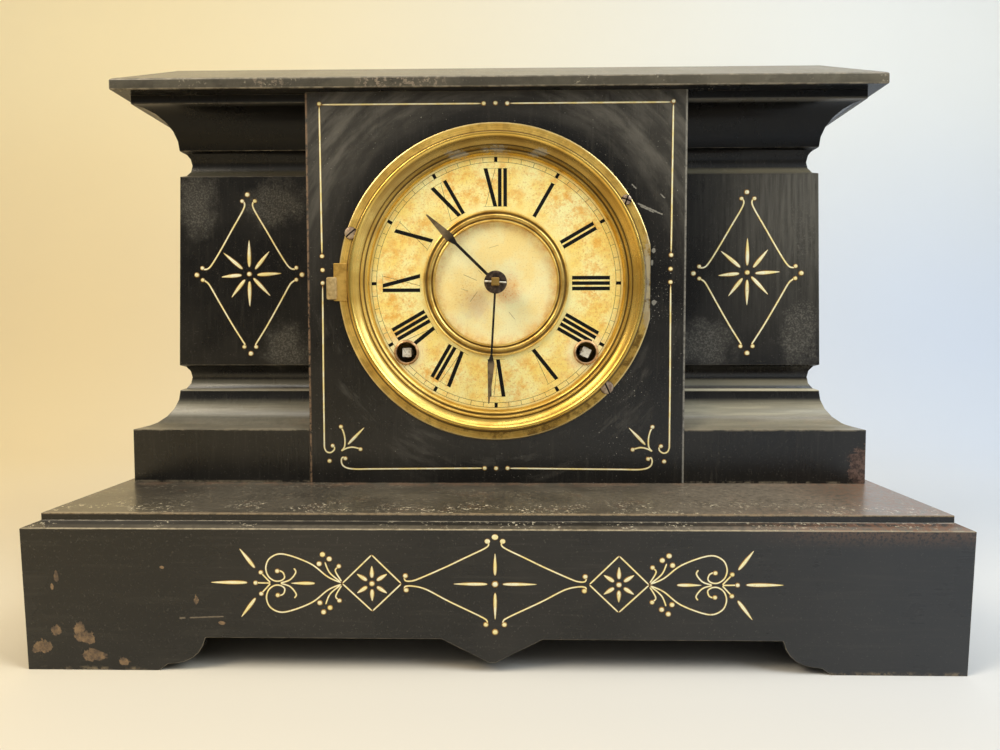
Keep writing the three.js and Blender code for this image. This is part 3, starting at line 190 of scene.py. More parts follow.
def choose_edges(piece, test):
    """Opens a piece for editing with the edges whose two ends pass the test selected."""
    bpy.ops.object.mode_set(mode="EDIT")
    bpy.ops.mesh.select_mode(type="EDGE")
    bpy.ops.mesh.select_all(action="DESELECT")
    for edge in bmesh.from_edit_mesh(piece.data).edges:
        edge.select_set(all(test(corner.co) for corner in edge.verts))
    bmesh.update_edit_mesh(piece.data)


bpy.ops.object.select_all(action="DESELECT")
bpy.ops.mesh.primitive_plane_add(size=6, location=(0, -2.1, 0))
sweep = bpy.context.object
sweep.name = "paper_sweep"
bpy.ops.object.transform_apply(location=True, rotation=True, scale=True)
choose_edges(sweep, lambda corner: corner.y > 0.8)
bpy.ops.mesh.extrude_region_move(TRANSFORM_OT_translate={"value": (0, 0, 4)})
choose_edges(sweep, lambda corner: corner.y > 0.8 and corner.z < 0.1)
bpy.ops.mesh.bevel(offset=0.45, segments=16, affect="EDGES")
bpy.ops.object.mode_set(mode="OBJECT")
bpy.ops.object.shade_smooth()
paper, point = new_finish("pale_paper")
side = point.along(0).step(-750, 750)
cloud = point.noise(400, 2)
# Painted light: the sheet is paler higher up, warm on the lamp side and cool on the window side.
high = point.along(2).step(100, 650)
warm = high.mix(paint(236, 215, 170), paint(252, 238, 198))
cool = high.mix(paint(208, 218, 234), paint(242, 244, 242))
painted_light_on_paper = side.mix(warm, cool)
set_finish(paper, {
    "Base Color": (0.12 * cloud).mix(painted_light_on_paper, paint(190, 180, 160)),
    "Roughness": 0.9,
    "Specular IOR Level": 0.1,
})
sweep.data.materials.append(paper)


# Lamps and room: a long light over the clock, a warm lamp at the left and a window at the right.
# The walls of the room add a dim glow.
def lamp(name, place, aim, width, depth, power, colour):
    """A soft rectangular lamp that looks at a point."""
    light = bpy.data.lights.new(name, "AREA")
    light.shape = "RECTANGLE"
    light.size = width
    light.size_y = depth
    light.energy = power
    light.color = colour
    stand = bpy.data.objects.new(name, light)
    stand.location = place
    stand.rotation_euler = (Vector(aim) - Vector(place)).to_track_quat("-Z", "Y").to_euler()
    bpy.context.scene.collection.objects.link(stand)


lamp("ceiling_light", (0.12, -0.26, 1.25), (0.06, -0.06, 0.1), 1.8, 0.22, 6.5, (1, 0.98, 0.92))
lamp("room_lamp", (-1.0, -0.75, 1.2), (0, 0, 0.15), 0.6, 0.6, 12.5, (1, 0.88, 0.68))
lamp("window", (1.1, -0.65, 1.1), (0, 0, 0.15), 0.6, 0.9, 14, (0.82, 0.92, 1))
room = bpy.data.worlds.new("room")
room.use_nodes = True
walls = room.node_tree.nodes["Background"]
way = Tone(room.node_tree, room.node_tree.nodes.new("ShaderNodeTexCoord").outputs["Generated"])
glow = way.along(0).step(-0.7, 0.7).mix((1, 0.92, 0.78, 1), (0.92, 0.96, 1, 1))
glow = way.along(2).step(0.0, 0.7).mix((0.2, 0.19, 0.17, 1), glow)
room.node_tree.links.new(glow.socket, walls.inputs["Color"])
walls.inputs["Strength"].default_value = 0.5
bpy.context.scene.world = room

# Iron castings: the hollow base, two moulded ends, the front panel and the roof, all cast in
# iron and stoved with a satin black enamel. The enamel is rubbed thin on the arrises, dusty on
# top and chipped to the brown metal low on the front.
ARRIS = 0.0007
MERGE = 0.000002
FLAT_ANGLE = 0.5
SMOOTH_ANGLE = 32
DIAL_HEIGHT = 169.5
# Ovals: place across, height, half width, half height. Scratches: two ends and a width. In mm.
BASE_CHIPS = [
    (-176.2, 18, 2.6, 2.6), (-173.4, 14.4, 4.3, 2.8), (-170.4, 6.6, 5, 2.5), (-192.4, 9.8, 4, 2.7),
    (-186, 17.2, 2.1, 2.3), (-157, 3.9, 2.5, 1.5), (-139.6, 45, 0.9, 0.6), (-125.3, 31, 1, 1.9),
    (-185, 40.8, 0.8, 2.6), (-187, 36.6, 0.7, 1.9), (-114.6, 21, 1.3, 0.8),
]
BASE_SCRATCHES = [(-128.6, 23.2, -113.6, 23.8, 0.4), (-133, 22.9, -130, 23.2, 0.5)]
PANEL_CHIPS = [(79.8, 185.5, 0.9, 1.2), (79, 179.4, 0.7, 1.5), (80.2, 159.6, 1.1, 1.4)]
PANEL_SCRATCHES = [
    (71.4, 209.3, 84.4, 203.4, 0.5), (72.6, 207.9, 80, 204.6, 0.4), (82.8, 214, 85.4, 211.6, 0.4),
    (68.4, 219, 71, 216.2, 0.4),
]
END_BLOOM = [
    (-160, 213, 9, 15), (-113, 137, 10, 10), (-118, 213, 15, 10), (162, 201, 9, 22),
    (160.5, 145, 10, 17), (111, 139, 14, 11),
]
END_RUST = [(188.6, 75.5, 8.6, 10.5)]


def marked(point, ragged, marks, soft=0.08):
    """How bare a face is inside a list of oval marks with ragged edges."""
    bare = None
    for across, height, half_width, half_height in marks:
        scaled = point.stretch(1 / half_width, 0, 1 / half_height)
        oval = scaled.away(across / half_width, 0, height / half_height) + ragged
        spot = oval.step(1 + soft, 1 - soft)
        bare = bare.most(spot) if bare else spot
    return bare


def scored(point, ragged, lines):
    """How far thin straight scratches cover a face."""
    cover = None
    for x, z, end_x, end_z, width in lines:
        run = math.hypot(end_x - x, end_z - z)
        way = ((end_x - x) / run, (end_z - z) / run)
        along = point.dot_with(way[0], 0, way[1]) - (x * way[0] + z * way[1])
        across = point.dot_with(-way[1], 0, way[0]) - (z * way[0] - x * way[1])
        thin = across.maths("ABSOLUTE", across, 0) + ragged
        scratch = thin.step(width, width * 0.4) * along.step(0, 0.6) * along.step(run, run - 0.6)
        cover = cover.most(scratch) if cover else scratch
    return cover


def base_wear(point, grain, up, colour):
    """Chips and scratches at the left, rust at the right, dust and crumbs on the ledge, with
    painted light: a cool reflection on the right of the front, shade on the step and a highlight
    along the front arris.
    """
    ragged = (point.noise(3.4, 5, 0.72) - 0.5) * 2.4
    fine = point.noise(1.1, 3, 0.65)
    broken = point.noise(12, 4, 0.7).step(0.42, 0.6)
    side, depth, height = [point.along(axis) for axis in range(3)]
    front = depth.step(-86, -87)
    # Painted reflection: the right of the front face is tinted a cool blue grey, as the window
    # light falls on it.
    colour = (front * side.step(30, 190) * 0.5).mix(colour, paint(50, 54, 60))
    bare = marked(point, ragged, BASE_CHIPS, 0.06) * front
    metal = point.noise(2.6, 4, 0.7).step(0.36, 0.64).mix(paint(86, 72, 60), paint(138, 113, 84))
    colour = bare.mix(colour, metal)
    scratch = scored(point, (fine - 0.5) * 0.5, BASE_SCRATCHES)
    colour = (scratch * front * 0.6).mix(colour, paint(142, 128, 108))
    joint = depth.step(-30, -19) * up * broken
    colour = (joint * 0.6).mix(colour, paint(128, 98, 76))
    pale = up * side.step(20, 150) * (0.4 + 0.6 * grain.step(0.35, 0.6))
    colour = (pale * 0.55).mix(colour, paint(160, 146, 128))
    dull = up * side.step(-110, -185)
    colour = (dull * 0.5).mix(colour, paint(42, 35, 26))
    # Painted shade: the step's top is darkened next to the riser of the ledge.
    shaded = height.step(65.6, 65) * depth.step(-87.6, -86.2) * up
    colour = (shaded * 0.85).mix(colour, paint(28, 25, 20))
    litter = (depth.step(-54, -70) * up).most(0.2 * up) * (0.6 + 0.35 * height.step(65, 66))
    crumb = point.noise(1.5, 3, 0.65).step(0.58, 0.63) * point.noise(17, 3).step(0.44, 0.57)
    colour = (crumb * litter).mix(colour, paint(226, 212, 182))
    brink = depth.step(-81.4, -83.6) * height.step(66, 66.6)
    colour = (brink * (0.3 + 0.6 * grain.step(0.35, 0.6))).mix(colour, paint(158, 136, 106))
    # Painted highlight: a pale broken line along the rounded front arris.
    glint = depth.step(-89, -89.6) * up
    colour = (glint * (0.35 + 0.5 * grain.step(0.35, 0.6))).mix(colour, paint(202, 186, 154))
    rusty = up * side.step(70, 190) * depth.step(-60, -88).most(side.step(120, 185))
    colour = (rusty * grain.step(0.4, 0.58) * 0.75).mix(colour, paint(122, 82, 58))
    fallen = front * (1 - up) * height.step(53, 61.6) * side.step(95, 165) * fine.step(0.34, 0.56)
    colour = (fallen * 0.5).mix(colour, paint(112, 84, 66))
    foot = front * height.step(2.2, 0.6) * grain.step(0.42, 0.56) * broken
    return (foot * 0.6).mix(colour, paint(150, 132, 104)), bare


def panel_wear(point, grain, up, colour):
    """Rubbed grey arcs round the bezel, dust specks beside it, a few chips and scratches, and a
    painted highlight down the right arris.
    """
    flat = point.stretch(1, 0, 1)
    reach = flat.away(0, 0, DIAL_HEIGHT)
    side, depth, height = [point.along(axis) for axis in range(3)]
    turn = side.maths("ARCTAN2", side, height - DIAL_HEIGHT)
    wipe = reach.node("CombineXYZ", {}, {0: reach, 1: turn * 22}).noise(7, 5, 0.62)
    haze = reach.step(80, 104) * height.step(140, 240)
    colour = (haze * (0.3 + 0.7 * wipe.step(0.36, 0.7)) * 0.6).mix(colour, paint(122, 117, 107))
    low = reach.step(80, 86) * reach.step(112, 94) * height.step(190, 120)
    colour = (low * wipe.step(0.5, 0.7) * 0.35).mix(colour, paint(98, 94, 86))
    fine = flat.noise(0.9, 2, 0.5)
    near = side.step(20, 80) * reach.step(118, 84) * height.step(235, 150)
    speck = (fine + 0.055 * near).step(0.7, 0.76) * flat.noise(22, 3).step(0.38, 0.54)
    colour = (speck * 0.75).mix(colour, paint(196, 190, 174))
    front = depth.step(-16, -17)
    bare = marked(point, (grain - 0.5) * 2, PANEL_CHIPS)
    bare = bare.most(scored(point, (fine - 0.5) * 0.9, PANEL_SCRATCHES)) * front
    # The left arris is worn brown; the pale line down the right arris is a painted highlight.
    left = side.step(-94.9, -95.6) * front * grain.step(0.38, 0.56)
    right = side.step(95, 95.6) * front * (0.4 + 0.6 * grain.step(0.36, 0.56))
    colour = (left * 0.7).mix(colour, paint(150, 120, 92))
    colour = (right * 0.7).mix(colour, paint(160, 156, 146))
    return (bare * 0.55).mix(colour, paint(178, 173, 160)), bare * 0.3


def end_wear(point, grain, up, colour):
    """Bloom on the piers, paler at the right pier, rust on the right foot block, and painted light:
    shade under the cornice and highlights on the coves, beads and rims, brighter at the right.
    """
    side, depth, height = [point.along(axis) for axis in range(3)]
    # Painted shade: near black under the cornice, above the piers.
    colour = (height.step(237, 243) * 0.8).mix(colour, paint(8, 7, 6))
    # sunny makes the painted highlights below brighter at the right, on the window side.
    sunny = side.step(-60, 60)
    # Dust and a painted highlight: pale bands across the lower cove where it would catch the
    # ceiling light.
    cove_dust_and_sheen = height.step(97, 102) * height.step(109.8, 105.4)
    cove_dust_and_sheen = cove_dust_and_sheen.most(0.5 * height.step(93.6, 95) * height.step(103, 98)) * (0.5 + 0.5 * sunny)
    cove_dust_and_sheen = cove_dust_and_sheen * (0.65 + 0.35 * point.stretch(0.06, 1, 1).noise(2, 4, 0.6).step(0.35, 0.65))
    colour = (cove_dust_and_sheen * 0.78).mix(colour, paint(176, 168, 142))
    # Painted highlight: a thin pale line along the foot of the neck.
    lip = height.step(112.9, 113.3) * height.step(114.5, 114) * (0.3 + 0.5 * sunny)
    colour = lip.mix(colour, paint(206, 196, 168))
    # Painted highlights on the beads of the upper and the lower neck, brighter at the right.
    bead_highlight = height.step(228.2, 229) * height.step(232.5, 230.5)
    bead_highlight = bead_highlight.most(height.step(115, 116.6) * height.step(120, 118))
    colour = (bead_highlight * (0.25 + 0.35 * sunny)).mix(colour, paint(150, 143, 120))
    seams = (height.step(93.5, 94) * height.step(95, 94.6)).most(height.step(68.3, 67.4))
    seams = seams * point.noise(9, 4, 0.7).step(0.42, 0.6)
    colour = (seams * 0.5).mix(colour, paint(150, 138, 116))
    # Painted highlight: a thin pale line near the top edge of the end, brighter at the right.
    rim = height.step(260.5, 261) * height.step(262.2, 261.7) * (0.2 + 0.4 * sunny)
    colour = rim.mix(colour, paint(112, 108, 98))
    front = depth.step(6, 3)
    patch = marked(point, (point.noise(9, 4, 0.65) - 0.5) * 2, END_BLOOM, 0.5) * front
    # The right pier is made paler in vertical streaks, along with the bloom.
    pale_right_pier = side.step(90, 170) * height.step(120, 225) * height.step(230, 227)
    pale_right_pier = pale_right_pier * (0.3 + 0.7 * front)
    bloom = patch * (0.25 + 0.65 * point.noise(0.9, 3, 0.75).step(0.44, 0.66))
    streak = point.stretch(1, 1, 0.06).noise(1.6, 3, 0.6).step(0.3, 0.7)
    bloom = bloom.most(pale_right_pier * (0.5 + 0.5 * streak))
    colour = (bloom * 0.5).mix(colour, paint(138, 134, 124))
    ragged = (point.noise(4, 5, 0.72) - 0.5) * 2.4
    bare = marked(point, ragged, END_RUST) * (depth + ragged * 12).step(-3, -9)
    rust = grain.step(0.4, 0.6).mix(paint(64, 48, 42), paint(112, 88, 76))
    return (bare * 0.85).mix(colour, rust), bare


def roof_wear(point, grain, up, colour):
    """Dust on top, with a painted reflection of the wall in it, a rubbed and flaked front edge, and
    pale spatter.
    """
    side = point.along(0)
    height = point.along(2)
    spatter = point.noise(1.6, 4, 0.7).step(0.58, 0.66) * point.noise(18, 3).step(0.46, 0.6)
    # Dust and a painted reflection: the top is made pale, as the wall behind would show in it.
    colour = (up * 0.5).mix(colour, paint(150, 140, 118))
    fascia = height.step(265.6, 266.2) * height.step(271.5, 270.5) * (1 - up)
    rubbed = 0.25 + 0.2 * point.noise(16, 4, 0.6).step(0.36, 0.64) + 0.2 * side.step(-40, 160)
    colour = (fascia * rubbed).mix(colour, paint(124, 117, 100))
    flaked = side.step(-72, -62) * side.step(-20, -32)
    flaked = flaked.most(0.7 * side.step(-124, -118) * side.step(-102, -108))
    flaked = flaked * fascia * point.noise(2.4, 4, 0.7).step(0.52, 0.6)
    colour = (flaked * 0.6).mix(colour, paint(160, 143, 122))
    return (spatter * 0.7).mix(colour, paint(176, 166, 142)), spatter * 0.4


def enamel(name, brush, rubbed, wear):
    """Black enamel over iron: brush is how its strokes are drawn out, rubbed how worn it is."""
    material, point = new_finish(name)
    facing = point.node("NewGeometry", {}, {}, "Normal")
    up = facing.along(2).step(0.45, 0.95)
    # Faces that look down get less coat and so reflect less: a stand-in for the shade under the
    # mouldings.
    under = facing.along(2).step(0.02, -0.35)
    cloud = point.noise(55, 4, 0.6)
    grain = point.noise(2.4, 5, 0.7)
    stroke = point.stretch(*brush).noise(1.5, 4, 0.65)
    film = cloud.step(0.38, 0.68)
    colour = film.mix(paint(14, 13, 12), paint(31, 29, 26))
    colour = (stroke.step(0.5, 0.75) * 0.2).mix(colour, paint(72, 68, 60))
    speck = point.noise(0.8, 2, 0.6).step(0.64, 0.72)
    colour = (speck * 0.35).mix(colour, paint(104, 99, 90))
    dust = up * (0.45 + 0.3 * point.noise(30, 4).step(0.36, 0.64) + 0.25 * grain.step(0.42, 0.6))
    colour = (dust * 0.75).mix(colour, paint(112, 103, 88))
    rust = up * point.noise(17, 5, 0.7).step(0.54, 0.64) * grain.step(0.4, 0.6)
    colour = (rust * 0.4).mix(colour, paint(98, 70, 54))
    colour, bare = wear(point, grain, up, colour)
    if rubbed:
        worn = rubbed * (0.35 + 0.65 * point.noise(6, 4, 0.65).step(0.42, 0.6))
        colour = worn.mix(colour, grain.mix(paint(96, 88, 74), paint(168, 156, 134)))
    set_finish(material, {
        "Base Color": colour,
        "Roughness": 0.22 + 0.1 * film + 0.06 * stroke + 0.2 * dust + 0.25 * bare,
        "Specular IOR Level": 0.2,
        "Coat Weight": 0.62 * (1 - under) - 0.3 * bare,
        "Coat Roughness": 0.25,
    }, grain + stroke * 0.3 - bare, 0.04)
    return material


def active(piece):
    """Makes a piece the only selected one, for the operators that act on the selection."""
    bpy.ops.object.select_all(action="DESELECT")
    piece.select_set(True)
    bpy.context.view_layer.objects.active = piece


def added(name, data):
    """A new piece for a mesh or a curve, the only one selected."""
    piece = bpy.data.objects.new(name, data)
    bpy.context.scene.collection.objects.link(piece)
    active(piece)
    return piece


def softened(node, name, body, slot, arris, *finishes, sharp=35):
    """A copy of a solid, its flat faces joined and its arrises sharper than an angle rounded."""
    piece = added(name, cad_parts[node].data.copy())
    bpy.ops.mesh.customdata_custom_splitnormals_clear()
    bpy.ops.object.mode_set(mode="EDIT")
    bpy.ops.mesh.select_all(action="SELECT")
    bpy.ops.mesh.remove_doubles(threshold=MERGE)
    bpy.ops.mesh.dissolve_limited(angle_limit=math.radians(FLAT_ANGLE))
    bpy.ops.object.mode_set(mode="OBJECT")
    piece.data.materials.clear()
    for finish in finishes:
        piece.data.materials.append(finish)
    bevel = piece.modifiers.new("arris", "BEVEL")
    bevel.width = arris
    bevel.segments = 2
    bevel.limit_method = "ANGLE"
    bevel.angle_limit = math.radians(sharp)
    bevel.material = len(finishes) - 1
    bpy.ops.object.modifier_apply(modifier="arris")
    bpy.ops.object.shade_smooth_by_angle(angle=math.radians(SMOOTH_ANGLE))
    piece.modifiers.new("flat faces", "WEIGHTED_NORMAL").keep_sharp = True
    bpy.ops.object.modifier_apply(modifier="flat faces")
    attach(piece, body)
    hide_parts(node)
    return piece


UPRIGHT = (1, 1, 0.07)
LEVEL = (0.05, 1, 1)
for node, name, brush, rubbed, wear, sharp in (
        ("base_casting", "base", LEVEL, 0.75, base_wear, 35),
        ("left_wing", "left_end", UPRIGHT, 0.6, end_wear, 35),
        ("right_wing", "right_end", UPRIGHT, 0.6, end_wear, 35),
        ("front_panel", "panel", UPRIGHT, 1.0, panel_wear, 35),
        ("top_casting", "roof", LEVEL, 0.9, roof_wear, 6)):
    face = enamel(name + "_enamel", brush, 0, wear)
    edge = enamel(name + "_arris", brush, rubbed, wear)
    softened(node, name, "case", "iron_enamel", ARRIS, face, edge, sharp=sharp)

# Gilt ornament: lines, dots, petals and scrolls cut into the enamel and laid in with gold size.
# Each is a thin ridge that lies half sunk in the face that carries it.
SUNK = 0.3
gilt, point = new_finish("gilt")
facing = point.node("NewGeometry", {}, {}, "Normal")
# Painted light and shade: pale gold where a ridge faces straight out, brown gold on its flanks.
lit_crown = facing.along(1).step(-0.88, -0.99)
patch = point.noise(6, 4, 0.65)
worn = point.noise(2.2, 3, 0.6).step(0.6, 0.72)
gold = patch.step(0.35, 0.65).mix(paint(254, 236, 160), paint(255, 251, 216))
gold = (worn * 0.5).mix(gold, paint(192, 168, 104))
set_finish(gilt, {
    "Base Color": lit_crown.mix(paint(150, 108, 34), gold),
    "Metallic": 0.15,
    "Roughness": 0.32 + 0.2 * patch,
}, point.noise(1.2, 3, 0.6), 0.1)


def smooth_path(points, steps=8):
    """Points of a soft curve that passes through the given ones."""
    if len(points) == 2:
        points = [points[0], [(a + b) / 2 for a, b in zip(*points)], points[1]]
    ends = [points[0], *points, points[-1]]
    path = []
    for before, start, stop, after in zip(ends, ends[1:], ends[2:], ends[3:]):
        for count in range(steps):
            t = count / steps
            path.append([
                0.5 * (2 * b + (c - a) * t + (2 * a - 5 * b + 4 * c - d) * t * t
                       + (3 * b - a - 3 * c + d) * t ** 3)
                for a, b, c, d in zip(before, start, stop, after)])
    return path + [list(points[-1])]


def line(*points):
    """A line as wide as the pen of the ornament being drawn, with rounded ends."""
    path = smooth_path(points)
    return [(x, z, pen * min(1, 0.35 + 0.5 * min(count, len(path) - 1 - count)))
            for count, (x, z) in enumerate(path)]


def petal(start, stop, width=0.78):
    """A pointed leaf between two points."""
    path = smooth_path([start, stop])
    last = len(path) - 1
    return [(x, z, 0.08 + width * math.sin(math.pi * (count / last) ** 0.7))
            for count, (x, z) in enumerate(path)]


def dot(x, z, radius=1.25):
    """A round drop of gold."""
    turns = [math.pi * count / 8 for count in range(9)]
    return [(x - radius * math.cos(turn), z, 0.02 + radius * math.sin(turn)) for turn in turns]


def mirrored(strokes):
    """Strokes and their mirror image about the middle."""
    return strokes + [[(-x, z, width) for x, z, width in stroke] for stroke in strokes]


def shifted(strokes, across, up):
    """Strokes moved to their place on the case."""
    return [[(x + across, z + up, width) for x, z, width in stroke] for stroke in strokes]


def gild(name, strokes, face):
    """Lays strokes on the case. Face gives the face's depth at a height, all in mm."""
    data = bpy.data.curves.new(name, "CURVE")
    data.dimensions = "3D"
    data.bevel_depth = 0.001
    data.bevel_resolution = 3
    data.use_fill_caps = True
    for stroke in strokes:
        spline = data.splines.new("POLY")
        spline.points.add(len(stroke) - 1)
        for knot, (x, z, width) in zip(spline.points, stroke):
            knot.co = (x / 1000, 0, z / 1000, 1)
            knot.radius = width
    added(name, data)
    bpy.ops.object.convert(target="MESH")
    piece = bpy.context.object
    for corner in piece.data.vertices:
        proud = corner.co.y * SUNK + face(corner.co.z * 1000) / 1000
        corner.co.y = max(proud, solid_low[1])
    bpy.ops.object.mode_set(mode="EDIT")
    bpy.ops.mesh.select_all(action="SELECT")
    bpy.ops.mesh.remove_doubles(threshold=MERGE)
    bpy.ops.mesh.normals_make_consistent(inside=False)
    bpy.ops.object.mode_set(mode="OBJECT")
    bpy.ops.object.shade_smooth()
    piece.data.materials.clear()
    piece.data.materials.append(gilt)
    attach(piece, "case")


pen = 0.52
panel_right = [
    line((5.9, 259.2), (89, 259.2)), dot(5.9, 259.2), dot(89, 259.6, 1.2),
    line((89, 259.4), (88.6, 183.4)), dot(88.6, 183.2), dot(88.4, 176.2), dot(88.4, 169.6),
    line((88.5, 169.4), (88.7, 120), (88.7, 96), (88.7, 88), (88.6, 85), (87.6, 83), (85.6, 82.5),
         (83.8, 83.7), (83.5, 85.2), (84.3, 86)), dot(84.4, 86, 1.2), dot(86.1, 78.1),
    line((80, 83.3), (78.3, 85.5), (78, 89.5), (78.8, 93.4), (80, 95.6)), dot(80, 95.9, 1.2),
    petal((76.6, 86.6), (67.9, 95.6), 0.9),
    line((80, 83.3), (77.3, 84.7), (74.2, 85.3), (71.2, 84.7), (70, 84.2)), dot(70, 84.2, 1.2),
    line((77.8, 79.5), (79.3, 80), (80, 78.4), (79.3, 75.9), (76.7, 74.4), (72.2, 73.9), (64, 74),
         (40, 74.2), (5.9, 74.5)), dot(77.9, 79.4, 1.2), dot(5.9, 74.5),
]
gild("panel_gilding", mirrored(panel_right) + [dot(0, 259.4), dot(0, 74.4)], lambda z: -17.5)

PIER_AXIS = 132.7
STAR_HEIGHT = 175.9
pen = 0.55
lozenge = [
    line((3.4, 38.9), (2.4, 38.1), (2.2, 36.3), (3.8, 32.7), (9.1, 23.7), (15, 13.5), (19.8, 5.8),
         (22.2, 3.1), (24.3, 2.6), (25.4, 3.3)), dot(3.4, 38.9), dot(25.4, 3.3),
    line((25.4, -3), (23.8, -3.8), (21.6, -6), (16.5, -15), (9.6, -27), (4.3, -35.5), (3, -37.6),
         (3.2, -39)), dot(25.3, -3.1), dot(3.2, -39), dot(28.4, -0.4, 1.5),
]
star = []
for start, stop in (((0, 3.5), (0, 18.3)), ((0, -3.6), (0, -17.4)), ((-4, -0.5), (-15.3, -1.5)),
                    ((4, -0.4), (17.3, 0.4)), ((-3.5, 2.6), (-14, 11.5)), ((3, 2.5), (10.9, 12.2)),
                    ((-2.3, -2.8), (-9.9, -12.5)), ((2, -2), (11.2, -11.7))):
    star.append(petal(start, stop, 1.15))
pier = mirrored(lozenge) + star + [dot(-0.6, 42.3, 1.5), dot(0.3, -42.6, 1.5), dot(0, 0, 1.5)]
for name, middle in (("left_pier_gilding", -PIER_AXIS), ("right_pier_gilding", PIER_AXIS)):
    gild(name, shifted(pier, middle, STAR_HEIGHT), lambda z: 0.2 + 1.8 * (z - 127) / 100.8)

SPRAY_MIDDLE = 1.3
SPRAY_HEIGHT = 38.4
DIAMOND = 51.8
pen = 0.42
spray = [
    line((3.2, 18.2), (2.7, 16.8), (4.6, 15.1), (12.8, 11.1), (21, 7.1), (30.6, 2.8), (34.6, 1.3),
         (37.6, 1.3), (38.2, 3)), dot(3.2, 18.3, 1.2), dot(37.7, 3.4, 1.2),
    line((3.9, -17.2), (3.4, -15.9), (6, -14), (19.4, -7.5), (29, -2.4), (34.6, -1), (37.8, -1.2),
         (38, -2.6)), dot(3.9, -17.4, 1.2), dot(37.4, -2.7, 1.2), petal((3, 0), (17.6, 0)),
    line((39.4, 0), (DIAMOND, 12.3)), line((DIAMOND, 12.3), (64.4, 0)),
    line((64.4, 0), (DIAMOND, -11.9)), line((DIAMOND, -11.9), (39.4, 0)), dot(DIAMOND, 0, 1.3),
]
for turn in (90, 33, -33, -90, -147, 147):
    across, up = math.cos(math.radians(turn)), math.sin(math.radians(turn))
    inner = (DIAMOND + 2.3 * across, 2.3 * up)
    outer = (DIAMOND + 7.6 * across, 7.6 * up)
    spray.append(petal(inner, outer, 0.98))
leaf = [
    line((64.7, 0.3), (70.4, 2.8), (77.8, 8.5), (89, 12.5), (94.6, 10.9), (96.6, 7), (95.8, 3.2),
         (93.3, 1.1), (90.6, 1), (88.8, 2.4), (89.5, 4.7), (91.7, 5.5)), dot(91.8, 5.2, 1.1),
    line((90.6, 0.1), (86.6, 1.4), (84, 4.6), (84.8, 6.5)), line((94.8, 0.2), (98.6, 4.3)),
    dot(98.8, 4.6, 1.1), petal((101.2, 6.4), (107.6, 14.8), 0.88), dot(72.5, 12.4), dot(74, 8.4),
    dot(69.7, 10.5), line((71.6, 9.2), (69.6, 4.6), (65, 0.6)),
    line((64.6, 0.8), (67.2, 5.4), (65.8, 7.2)), dot(65.7, 7.4, 1.1),
]
spray += leaf + [[(x, -z, width) for x, z, width in stroke] for stroke in leaf]
spray += [petal((75.8, 0), (86.2, 0)), line((94.8, 0), (100.4, 0.1)), dot(101.1, 0.1, 1.1),
          petal((104.4, 0.2), (120.3, 0.2), 0.88)]
spray = mirrored(spray) + [petal((0, 3.6), (0, 13.2)), petal((0, -3.6), (0, -15.4)),
                           dot(0, 0, 1.5), dot(0, 20.1, 1.4), dot(0, -20.6, 1.4)]
gild("base_gilding", shifted(spray, SPRAY_MIDDLE, SPRAY_HEIGHT),
     lambda z: -90 + 1.2 * (1 - z / 61.4))


# Rods, screws and pins: plain turned steel, left bright and gone dull grey with brown spots.
# The tie rods run from square heads under the base up through both ends into the roof.
def on_solids(material, *nodes):
    """Puts a finish on solids that keep their own shape."""
    for node in nodes:
        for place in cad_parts[node].material_slots:
            place.material = material


steel, point = new_finish("dull_steel")
blotch = point.noise(7, 4, 0.6)
fine = point.stretch(1, 0.15, 1).noise(0.7, 2)
set_finish(steel, {
    "Base Color": blotch.step(0.56, 0.7).mix(fine.mix(paint(150, 147, 140), paint(196, 194, 188)),
                                             paint(120, 88, 62)),
    "Metallic": 1 - 0.6 * blotch.step(0.58, 0.7),
    "Roughness": 0.34 + 0.2 * blotch,
}, fine, 0.02)
on_solids(steel, "front_left_tie_rod", "front_right_tie_rod", "rear_left_tie_rod",
          "rear_right_tie_rod", "back_plate_screw_1", "back_plate_screw_2", "back_plate_screw_3",
          "back_plate_screw_4", "door_hinge_pin", "upper_left_movement_screw",
          "upper_right_movement_screw", "lower_left_movement_screw", "lower_right_movement_screw",
          "verge", "pendulum_rod", "strike_hammer")

# Back plate and door: sheet iron with a dull black japan, brushed on and thin at the edges.
# The round door hangs on a pin and is pulled by a small brass knob.
japan, point = new_finish("dull_japan")
cloud = point.noise(40, 4, 0.6)
brushed = point.stretch(1, 1, 0.12).noise(2.4, 3, 0.6)
set_finish(japan, {
    "Base Color": (cloud.step(0.4, 0.8) * 0.4).mix(
        brushed.mix(paint(40, 37, 34), paint(66, 62, 56)), paint(98, 86, 73)),
    "Roughness": 0.45 + 0.25 * cloud,
    "Specular IOR Level": 0.45,
}, brushed, 0.04)
on_solids(japan, "back_plate", "back_door")

# Movement: stamped brass plates on turned pillars, thin brass wheels, steel arbors and two blued
# mainsprings. All are browned by old oil.
aged_brass, point = new_finish("browned_brass")
cloud = point.noise(18, 4, 0.6)
fine = point.stretch(0.1, 1, 1).noise(0.9, 2)
set_finish(aged_brass, {
    "Base Color": cloud.step(0.3, 0.8).mix(fine.mix(paint(176, 142, 74), paint(206, 172, 98)),
                                           paint(142, 108, 58)),
    "Metallic": 0.95 - 0.2 * cloud,
    "Roughness": 0.3 + 0.25 * cloud,
}, fine, 0.015)
on_solids(aged_brass, "movement_front_plate", "movement_back_plate", "upper_left_pillar",
          "upper_right_pillar", "lower_left_pillar", "lower_right_pillar", "suspension_post",
          "minute_wheel", "hour_wheel", "escape_wheel")


